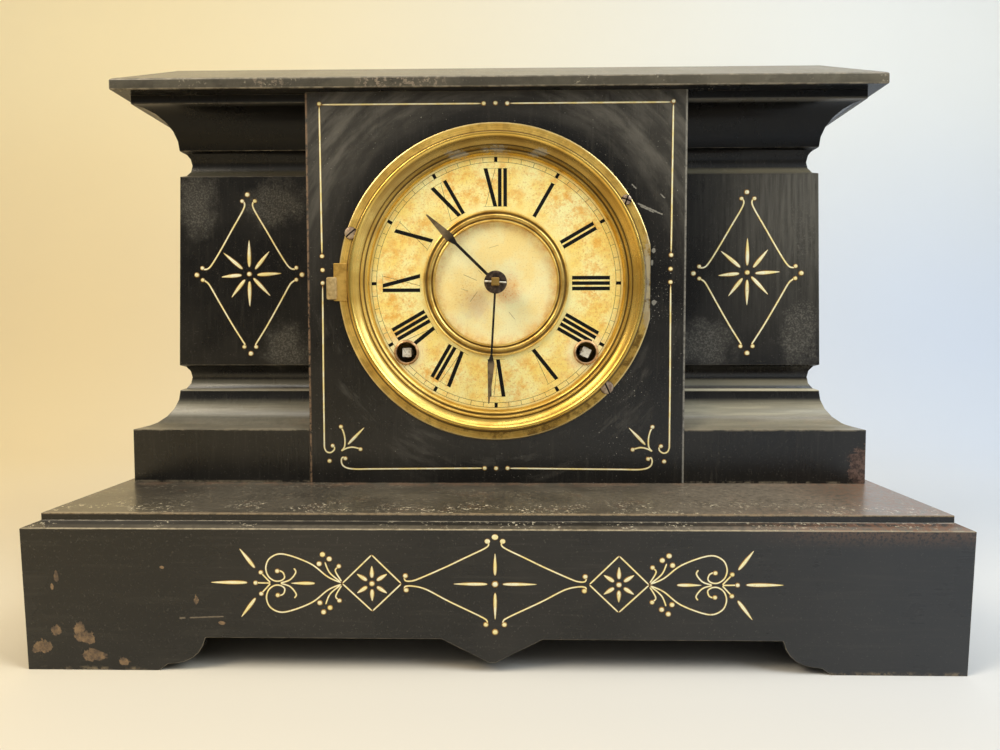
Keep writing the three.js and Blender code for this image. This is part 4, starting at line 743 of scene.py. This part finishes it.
def mottled(name, patch, edges, pale, dark, metallic, rough, depth):
    """Metal whose two colours cloud into each other. Patch is the size and detail of the cloud."""
    material, point = new_finish(name)
    cloud = point.noise(*patch)
    set_finish(material, {
        "Base Color": cloud.step(*edges).mix(pale, dark),
        "Metallic": metallic,
        "Roughness": rough + 0.2 * cloud,
    }, cloud, depth)
    return material


spring_steel = mottled("blued_spring", (9, 3), (0.35, 0.65), paint(58, 62, 84), paint(110, 96, 84),
                       metallic=0.9, rough=0.28, depth=0.02)
on_solids(spring_steel, "strike_mainspring", "time_mainspring", "gong_coil")
on_solids(japan, "gong_stand")

# Pendulum and door knob: a brass bob with a rating nut under it, and the turned knob of the back
# door, all bright from handling.
TURNED_ARRIS = 0.0004
bright_brass, point = new_finish("bright_brass")
cloud = point.noise(12, 4, 0.6)
fine = point.noise(0.8, 2)
set_finish(bright_brass, {
    "Base Color": cloud.step(0.45, 0.75).mix(fine.mix(paint(214, 172, 82), paint(236, 198, 108)),
                                             paint(158, 118, 56)),
    "Metallic": 1 - 0.25 * cloud.step(0.5, 0.8),
    "Roughness": 0.2 + 0.25 * cloud,
}, fine, 0.012)
for node, name, body in (("pendulum_bob", "bob", "pendulum"),
                         ("rating_nut", "bob_nut", "rating_nut"),
                         ("back_door_knob", "door_knob", "back_door")):
    softened(node, name, body, "brass", TURNED_ARRIS, bright_brass)

# Suspension: a strip of thin spring steel, pinched in the slit post and in the head of the rod.
# On the clock it bends under the post as the pendulum swings; here it is cut across into short
# lengths and left straight.
STRIP_TOP = 0.2225
STRIP_FOOT = 0.2115
STRIP_DEPTH = 0.0575
STRIP_LENGTH = STRIP_TOP - STRIP_FOOT
STRIP_CUTS = 22


def block(name, place, size):
    """A new block at its place, ready to be cut or rounded."""
    bpy.ops.object.select_all(action="DESELECT")
    bpy.ops.mesh.primitive_cube_add(size=1, location=place)
    piece = bpy.context.object
    piece.name = name
    piece.scale = size
    bpy.ops.object.transform_apply(location=True, rotation=True, scale=True)
    return piece


strip_middle = (0, STRIP_DEPTH, (STRIP_TOP + STRIP_FOOT) / 2)
strip = block("spring_strip", strip_middle, (0.0003, 0.0036, STRIP_LENGTH))
bpy.ops.object.mode_set(mode="EDIT")
for count in range(1, STRIP_CUTS):
    height = STRIP_FOOT + count * STRIP_LENGTH / STRIP_CUTS
    bpy.ops.mesh.select_all(action="SELECT")
    bpy.ops.mesh.bisect(plane_co=(0, 0, height), plane_no=(0, 0, 1))
bpy.ops.object.mode_set(mode="OBJECT")
strip.data.materials.append(steel)
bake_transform(strip)
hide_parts("suspension_spring")

# Dial: printed paper pasted on a pressed plate with a sunk centre. The paper is cream, foxed to
# orange round the numerals, greyer and scratched in the middle, with a rust stain below the hub.
DIAL_FACE = -14.4
KEYHOLES = ((-46.2, 134.1), (46.2, 134.1))
dial_paper, point = new_finish("printed_paper")
flat = point.stretch(1, 0, 1)
reach = flat.away(0, 0, DIAL_HEIGHT)
cloud = flat.noise(22, 5, 0.62)
fox = flat.noise(7, 6, 0.78)
fibre = flat.noise(0.8, 3, 0.6)
colour = cloud.step(0.35, 0.65).mix(paint(255, 246, 176), paint(255, 224, 122))
ring = reach.step(36, 46) * reach.step(70, 58)
broad = flat.noise(38, 2).step(0.36, 0.62)
colour = (fox.step(0.44, 0.62) * ring * (0.3 + 0.6 * broad)).mix(colour, paint(240, 176, 70))
grain = flat.noise(1.1, 3, 0.7).step(0.54, 0.66)
colour = (grain * ring * 0.55).mix(colour, paint(206, 144, 58))
middle = reach.step(40, 28)
colour = middle.mix(colour, cloud.step(0.36, 0.66).mix(paint(255, 244, 186), paint(255, 228, 150)))
bruise = (flat.away(-9, 0, 158.5) + (fox - 0.5) * 20).step(11, 2)
colour = (bruise * 0.4).mix(colour, paint(206, 182, 168))
rim = reach.step(25, 31) * reach.step(38, 31) * fox.step(0.4, 0.6)
colour = (rim * 0.5).mix(colour, paint(230, 172, 92))
tan = (flat.away(-15, 0, 164) + (fox - 0.5) * 16).step(11, 2)
colour = (tan * (0.15 + 0.6 * grain)).mix(colour, paint(216, 160, 62))
stain = (flat.away(5, 0, 166.5) + (fox - 0.5) * 12).step(11, 3)
colour = (stain * (0.4 + 0.6 * grain)).mix(colour, paint(232, 138, 30))
cut = scored(flat, (fibre - 0.5) * 0.25, [
    (-17, 174.2, -9.6, 171, 0.24), (-13.5, 160, -9.4, 165.6, 0.22), (-9.2, 176.6, -7, 174.4, 0.2),
    (-18.4, 167, -14, 165.6, 0.16), (6.4, 155.2, 9.8, 151, 0.18), (-4, 187.5, 1.5, 189.2, 0.14)])
colour = (cut * 0.6).mix(colour, paint(112, 92, 60))
for across, height in KEYHOLES:
    colour = (flat.away(across, 0, height).step(13, 7) * 0.6).mix(colour, paint(252, 240, 190))
colour = (reach.step(62, 66) * 0.35).mix(colour, paint(196, 158, 88))
set_finish(dial_paper, {
    "Base Color": (fibre.step(0.5, 0.75) * 0.3).mix(colour, paint(186, 142, 76)),
    "Roughness": 0.55 + 0.2 * cloud,
    "Specular IOR Level": 0.35,
}, fibre, 0.02)
on_solids(dial_paper, "dial_plate")

# Dial printing: black roman numerals with their feet to the middle, thick strokes and hairlines,
# inside a minute track of two circles with a block at each hour.
BAR = 1.85
HAIR = 0.17
SERIF = 0.1
FOOT = 39.0
HEAD = 58.2
PITCH = 2.75
SPREAD = 5.0
TRACK = (61.4, 63.9)
MARK_FOOT = 61.5
BLOCK = 1.65
HOLE_CLEAR = 6.2
PARTS = 24
HOURS = ("I", "II", "III", "IIII", "V", "VI", "VII", "VIII", "IX", "X", "XI", "XII")
ink, point = new_finish("printing_ink")
rub = point.noise(3, 4, 0.65)
set_finish(ink, {
    "Base Color": rub.step(0.62, 0.8).mix(paint(8, 8, 6), paint(48, 40, 28)),
    "Roughness": 0.6 + 0.15 * rub,
    "Specular IOR Level": 0.2,
}, rub, 0.01)


def on_dial(hour, across, reach):
    """A point of the dial: clockwise from the hour's own line, and out from the middle."""
    turn = math.radians(30 * hour)
    return (reach * math.sin(turn) + across * math.cos(turn),
            DIAL_HEIGHT + reach * math.cos(turn) - across * math.sin(turn))


def printed(hour, start, stop, width):
    """One stroke as flat corners, left out where a winding hole is cut through the paper."""
    made = []
    inside = []

    def part(count):
        return [a + (b - a) * count / PARTS for a, b in zip(start, stop)]

    for count in range(PARTS):
        x, z = on_dial(hour, *part(count + 0.5))
        inside.append(all(math.hypot(x - hole[0], z - hole[1]) > HOLE_CLEAR for hole in KEYHOLES))
    first = None
    for count in range(PARTS + 1):
        shown = count < PARTS and inside[count]
        if shown and first is None:
            first = count
        if not shown and first is not None:
            near, far = part(first), part(count)
            ends = ((-1, near), (1, near), (1, far), (-1, far))
            made.append([on_dial(hour, across + side * width / 2, reach)
                         for side, (across, reach) in ends])
            first = None
    return made


def numeral(hour, letters):
    """The strokes of one numeral, from its left to its right as read from the middle."""
    widths = {"I": PITCH, "V": SPREAD + 1.6, "X": SPREAD + 1.8}
    left = -sum(widths[letter] for letter in letters) / 2
    span = -left
    made = []
    for letter in letters:
        middle = left + widths[letter] / 2
        half = SPREAD / 2
        if letter == "I":
            made += printed(hour, (middle, FOOT), (middle, HEAD), BAR)
        elif letter == "V":
            made += printed(hour, (middle + 0.4, FOOT), (middle - half, HEAD), BAR * 1.08)
            made += printed(hour, (middle + 0.6, FOOT), (middle + half, HEAD), HAIR)
        else:
            made += printed(hour, (middle + half, FOOT), (middle - half, HEAD), BAR * 1.08)
            made += printed(hour, (middle - half, FOOT), (middle + half, HEAD), HAIR)
        left += widths[letter]
    for reach in (FOOT, HEAD):
        made += [[on_dial(hour, side * span, reach + edge) for side, edge in
                  ((-1, -SERIF / 2), (1, -SERIF / 2), (1, SERIF / 2), (-1, SERIF / 2))]]
    return made


strokes = []
for hour, letters in enumerate(HOURS, 1):
    strokes += numeral(hour, letters)
    strokes += printed(hour, (0, MARK_FOOT), (0, TRACK[1]), BLOCK)
for minute in range(60):
    strokes += printed(minute / 5, (0, MARK_FOOT), (0, TRACK[1]), HAIR)
for circle in TRACK:
    for count in range(180):
        strokes.append([on_dial((count + end) / 15, 0, circle + side) for end, side in
                        ((0, -HAIR / 2), (0, HAIR / 2), (1, HAIR / 2), (1, -HAIR / 2))])
corners = [(x / 1000, (DIAL_FACE - 0.01) / 1000, z / 1000) for stroke in strokes for x, z in stroke]
data = bpy.data.meshes.new("dial_printing")
data.from_pydata(corners, [], [range(4 * count, 4 * count + 4) for count in range(len(strokes))])
printing = added("dial_printing", data)
bpy.ops.object.mode_set(mode="EDIT")
bpy.ops.mesh.select_all(action="SELECT")
bpy.ops.mesh.normals_make_consistent(inside=False)
bpy.ops.object.mode_set(mode="OBJECT")
skin = printing.modifiers.new("ink", "SOLIDIFY")
skin.thickness = 0.00004
skin.offset = 0
bpy.ops.object.modifier_apply(modifier="ink")
data.materials.append(ink)
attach(printing, "case")

# Bezel: a spun brass ring with a flat flange, a raised lip and stepped mouldings down to the dial.
# Its flange is cut straight at the right. It is polished on the ridges, with painted shade in its
# grooves.
FLANGE_FLAT = 0.078
TURNED_ANGLE = 30
BEZEL_GREY = [
    (-19, 234.2, 4.2, 1.6), (1.5, 236.6, 5.5, 1.8), (22.5, 234.6, 3.6, 1.5), (76.8, 168, 1.5, 21),
]
bezel_brass, point = new_finish("bezel_brass")
flat = point.stretch(1, 0, 1)
reach = flat.away(0, 0, DIAL_HEIGHT)
cloud = point.noise(16, 4, 0.6)
fine = point.noise(0.7, 3, 0.6)
lathe = reach.node("CombineXYZ", {}, {0: reach}).noise(0.55, 3, 0.7)
tarnish = point.noise(5, 5, 0.7).step(0.45, 0.62)
# Painted shade: the grooves between the mouldings are dark brown.
bezel_groove_shade = reach.step(69.9, 69.5) * reach.step(69, 69.3)
bezel_groove_shade = bezel_groove_shade.most(reach.step(76.6, 76) * reach.step(75.1, 75.4))
bezel_groove_shade = bezel_groove_shade.most(reach.step(67.9, 67.6) * reach.step(66.9, 67.2))
slope = reach.step(73.6, 72.6) * reach.step(65, 66)
colour = cloud.step(0.3, 0.7).mix(paint(250, 212, 112), paint(214, 170, 76))
colour = (lathe.step(0.42, 0.66) * 0.4).mix(colour, paint(156, 118, 50))
# Painted shade: the inner slope is darker except at the far left, and much darker at the top.
colour = (slope * 0.3 * point.along(0).step(-72, -10)).mix(colour, paint(150, 114, 42))
shade = slope * point.along(2).step(175, 235)
colour = (shade * 0.55).mix(colour, paint(84, 60, 24))
colour = (bezel_groove_shade * 0.85).mix(colour, paint(74, 52, 22))
flange = reach.step(75.6, 76.2) * reach.step(80, 79.4)
# Tarnish, and painted shade that darkens the flange towards the lower right.
flange_tarnish_and_shade = 0.06 + 0.3 * tarnish + point.dot_with(0.7, 0, -0.7).step(-125, -55) * (0.3 + 0.3 * tarnish)
colour = (flange * flange_tarnish_and_shade).mix(colour, paint(116, 86, 28))
# Painted highlights: pale lines on the outer edge of the flange and beside the lip.
bright = reach.step(79.3, 79.7).most(reach.step(74.9, 75.2) * reach.step(75.9, 75.5))
colour = (bright * 0.35).mix(colour, paint(255, 240, 188))
grey = marked(point, (fine - 0.5) * 2.2 + (tarnish - 0.5) * 0.9, BEZEL_GREY, 0.3)
colour = (grey * 0.5).mix(colour, paint(156, 154, 142))
dull = slope * (0.2 + 0.35 * point.along(0).step(-15, -60))
set_finish(bezel_brass, {
    "Base Color": colour,
    "Metallic": 0.95 - 0.35 * grey - 0.4 * flange - dull,
    "Roughness": 0.17 + 0.1 * cloud + 0.12 * lathe + 0.2 * bezel_groove_shade + 0.2 * flange,
}, fine + lathe, 0.03)


def turned(name, profile, across, height, steps, body, finish):
    """A piece turned on an axis from front to back. Profile pairs radius and depth in mm."""
    data = bpy.data.meshes.new(name)
    corners = [((across + radius) / 1000, depth / 1000, height / 1000) for radius, depth in profile]
    count = len(corners)
    data.from_pydata(corners, [(index, (index + 1) % count) for index in range(count)], [])
    piece = added(name, data)
    bpy.ops.object.mode_set(mode="EDIT")
    bpy.ops.mesh.select_all(action="SELECT")
    bpy.ops.mesh.spin(steps=steps, angle=2 * math.pi, center=(across / 1000, 0, height / 1000),
                      axis=(0, 1, 0))
    bpy.ops.mesh.select_all(action="SELECT")
    bpy.ops.mesh.remove_doubles(threshold=MERGE)
    bpy.ops.mesh.normals_make_consistent(inside=False)
    bpy.ops.object.mode_set(mode="OBJECT")
    bpy.ops.object.shade_smooth_by_angle(angle=math.radians(TURNED_ANGLE))
    data.materials.append(finish)
    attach(piece, body)
    return piece


BEZEL_PROFILE = [
    (80.3, -17.6), (80.3, -18.3), (80.1, -18.65), (79.7, -18.8), (79.2, -18.7), (76.1, -18.55),
    (75.7, -18.65), (75.5, -19.1), (75.3, -20.3), (75, -20.8), (74.5, -21), (73.9, -20.95),
    (73.4, -20.65), (72.6, -19.7), (71.6, -18.7), (70.6, -17.95), (69.8, -17.55), (69.4, -17.5),
    (69.2, -17.95), (68.9, -18.2), (68.4, -18.2), (68, -17.85), (67.6, -17.1), (67.3, -16.95),
    (67, -17.25), (66.6, -17.35), (66.2, -17.1), (65.6, -16.3), (65.15, -15.4), (65, -14.5),
    (70.9, -14.5), (70.9, -13.6), (71.8, -13.6), (71.8, -17.6),
]
bezel = turned("bezel", BEZEL_PROFILE, 0, DIAL_HEIGHT, 160, "case", bezel_brass)
active(bezel)
bpy.ops.object.mode_set(mode="EDIT")
bpy.ops.mesh.select_all(action="SELECT")
bpy.ops.mesh.bisect(plane_co=(FLANGE_FLAT, 0, 0), plane_no=(1, 0, 0), use_fill=True,
                    clear_outer=True)
bpy.ops.object.mode_set(mode="OBJECT")
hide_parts("bezel_ring")

# Catch: a brass nub on the panel and a raised plate on the flange beside it, both worn pale.
# A door over the dial latches on them.
NUB_ARRIS = 0.0011
PLATE_PLACE = (-0.079, -0.0188, 0.17)
PLATE_SIZE = (0.007, 0.001, 0.0192)
nub_brass = mottled("nub_brass", (3, 4, 0.65), (0.3, 0.75), paint(222, 196, 142),
                    paint(168, 138, 86), metallic=0.5, rough=0.3, depth=0.05)
softened("door_catch", "catch_nub", "case", "brass", NUB_ARRIS, nub_brass)
plate_brass = mottled("plate_brass", (6, 4, 0.6), (0.35, 0.7), paint(222, 182, 96),
                      paint(174, 134, 58), metallic=0.55, rough=0.3, depth=0.03)
plate = block("catch_plate", PLATE_PLACE, PLATE_SIZE)
soft = plate.modifiers.new("edge", "BEVEL")
soft.width = 0.0004
soft.segments = 2
bpy.ops.object.modifier_apply(modifier="edge")
plate.data.materials.append(plate_brass)
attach(plate, "case")

# Bezel screws: two slotted and one with a crossed slot, all odd replacements by their look.
# Each head sits in the flange and its slot is sawn across.
SCREW_SEAT = -18.72
SAW = (0.012, 0.0016, 0.0008)
screw_metal, point = new_finish("screw_metal")
cloud = point.noise(3, 4, 0.6)
# Painted shade: dark in the slot and round the foot of the head.
slot_shade = point.along(1).step(-19.62, -19.35)
head = cloud.step(0.4, 0.65).mix(paint(188, 168, 142), paint(130, 104, 86))
set_finish(screw_metal, {
    "Base Color": slot_shade.mix(head, paint(30, 24, 19)),
    "Metallic": 0.5,
    "Roughness": 0.3 + 0.25 * cloud,
}, cloud, 0.03)


def bezel_screw(node, name, radius, slots):
    """A domed head at its place on the flange, with one slot or two crossed ones."""
    low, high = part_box(node)
    across = (low.x + high.x) * 500
    height = (low.z + high.z) * 500
    dome = ((0, 0), (1, 0), (1, 0.55), (0.93, 0.85), (0.7, 1.15), (0.4, 1.35), (0, 1.42))
    profile = [(radius * share, SCREW_SEAT - rise) for share, rise in dome]
    piece = turned(name, profile, across, height, 28, "case", screw_metal)
    for slot in slots:
        middle = (across / 1000, (SCREW_SEAT - 1.35) / 1000, height / 1000)
        aslant = (0, math.radians(slot), 0)
        bpy.ops.object.select_all(action="DESELECT")
        bpy.ops.mesh.primitive_cube_add(size=1, location=middle, rotation=aslant)
        saw = bpy.context.object
        saw.scale = SAW
        active(piece)
        cut = piece.modifiers.new("slot", "BOOLEAN")
        cut.object = saw
        bpy.ops.object.modifier_apply(modifier="slot")
        bpy.data.objects.remove(saw)
    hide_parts(node)


bezel_screw("bezel_screw_1", "left_bezel_screw", 3.2, (-40,))
bezel_screw("bezel_screw_2", "upper_bezel_screw", 2.6, (20, 110))
bezel_screw("bezel_screw_3", "lower_bezel_screw", 3.4, (65,))

# Centre ring and winding collets: small brass mouldings pressed over the cut edges of the paper.
# The ring covers the step down to the sunk centre, and each collet lines a winding hole.
ring_brass, point = new_finish("ring_brass")
reach = point.stretch(1, 0, 1).away(0, 0, DIAL_HEIGHT)
cloud = point.noise(9, 4, 0.6)
# Painted shade: the ring's two grooves are dark brown.
ring_groove_shade = reach.step(36.3, 36) * reach.step(34.9, 35.3)
ring_groove_shade = ring_groove_shade.most(reach.step(33.2, 32.9) * reach.step(32.2, 32.5))
colour = cloud.step(0.35, 0.7).mix(paint(244, 208, 118), paint(200, 156, 74))
set_finish(ring_brass, {
    "Base Color": (ring_groove_shade * 0.8).mix(colour, paint(88, 62, 30)),
    "Metallic": 0.9,
    "Roughness": 0.24 + 0.2 * cloud + 0.2 * ring_groove_shade,
}, cloud, 0.03)
RING_PROFILE = [
    (31.3, -13.4), (31.3, -15.3), (31.5, -15.7), (31.9, -15.85), (32.3, -15.7), (32.5, -15.3),
    (32.7, -15.1), (33, -15.15), (33.3, -15.6), (33.8, -15.9), (34.5, -15.9), (35, -15.6),
    (35.3, -15.15), (35.9, -15.05), (36.2, -15.4), (36.6, -15.75), (37, -15.6), (37.25, -15.2),
    (37.25, -14.5), (34, -14.45), (34, -13.4),
]
ring = turned("dial_ring", RING_PROFILE, 0, DIAL_HEIGHT, 120, "case", ring_brass)
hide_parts("centre_ring")
COLLET_PROFILE = [
    (5.2, -12.6), (5.2, -15), (5.3, -15.3), (5.6, -15.4), (6, -15.25), (6.3, -14.95),
    (6.45, -14.5), (5.8, -14.5), (5.8, -12.6),
]
rose_brass = mottled("rose_brass", (4, 4, 0.6), (0.35, 0.68), paint(226, 186, 140),
                     paint(152, 112, 70), metallic=0.75, rough=0.3, depth=0.03)
for node, name, (across, height) in (("left_winding_collet", "left_collet", KEYHOLES[0]),
                                     ("right_winding_collet", "right_collet", KEYHOLES[1])):
    collet = turned(name, COLLET_PROFILE, across, height, 48, "case", rose_brass)
    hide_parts(node)
pale_steel = mottled("pale_steel", (2.5, 4, 0.6), (0.4, 0.7), paint(244, 238, 222),
                     paint(176, 160, 132), metallic=0.35, rough=0.32, depth=0.03)
on_solids(pale_steel, "strike_winding_arbor", "time_winding_arbor")

# Hands: blued steel gone black, each a thin rod with a pointed leaf, held by a domed collar
# and a brass taper pin.
def hand_finish(name, leaf):
    """Blackened steel, worn to bronze on the leaf, which starts at this reach from the middle."""
    material, point = new_finish(name)
    cloud = point.noise(5, 4, 0.6)
    reach = point.stretch(1, 0, 1).away(0, 0, DIAL_HEIGHT)
    colour = cloud.step(0.45, 0.75).mix(paint(26, 23, 20), paint(70, 60, 48))
    bronze = cloud.step(0.36, 0.64).mix(paint(98, 82, 58), paint(144, 124, 94))
    set_finish(material, {
        "Base Color": (reach.step(leaf, leaf + 2.5) * 0.85).mix(colour, bronze),
        "Metallic": 0.5,
        "Roughness": 0.32 + 0.2 * cloud,
    }, cloud, 0.02)
    return material


HAND_ARRIS = 0.0003
COLLAR_PROFILE = [
    (2.1, -23), (5.75, -23), (5.75, -23.2), (5.5, -23.5), (4.7, -23.75), (3.4, -23.9), (2.1, -23.9),
]
SQUARE_PLACE = (0, -0.02581, DIAL_HEIGHT / 1000)
SQUARE_SIZE = (0.0039, 0.0038, 0.0039)
hour_steel = hand_finish("hour_steel", 31)
minute_steel = hand_finish("minute_steel", 39)
softened("hour_hand", "hour_pointer", "hour", "black_steel", HAND_ARRIS, hour_steel)
softened("minute_hand", "minute_pointer", "minute", "black_steel", HAND_ARRIS, minute_steel)
brown_steel = mottled("brown_steel", (3, 4, 0.65), (0.4, 0.7), paint(50, 40, 34),
                      paint(110, 92, 76), metallic=0.6, rough=0.3, depth=0.04)
collar = turned("hand_washer", COLLAR_PROFILE, 0, DIAL_HEIGHT, 48, "minute",
                brown_steel)
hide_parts("hand_collar")
on_solids(pale_steel, "hand_pin")
on_solids(bright_brass, "centre_arbor")
boss = block("arbor_square", SQUARE_PLACE, SQUARE_SIZE)
soft = boss.modifiers.new("edge", "BEVEL")
soft.width = 0.0003
bpy.ops.object.modifier_apply(modifier="edge")
boss.data.materials.append(aged_brass)
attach(boss, "minute")
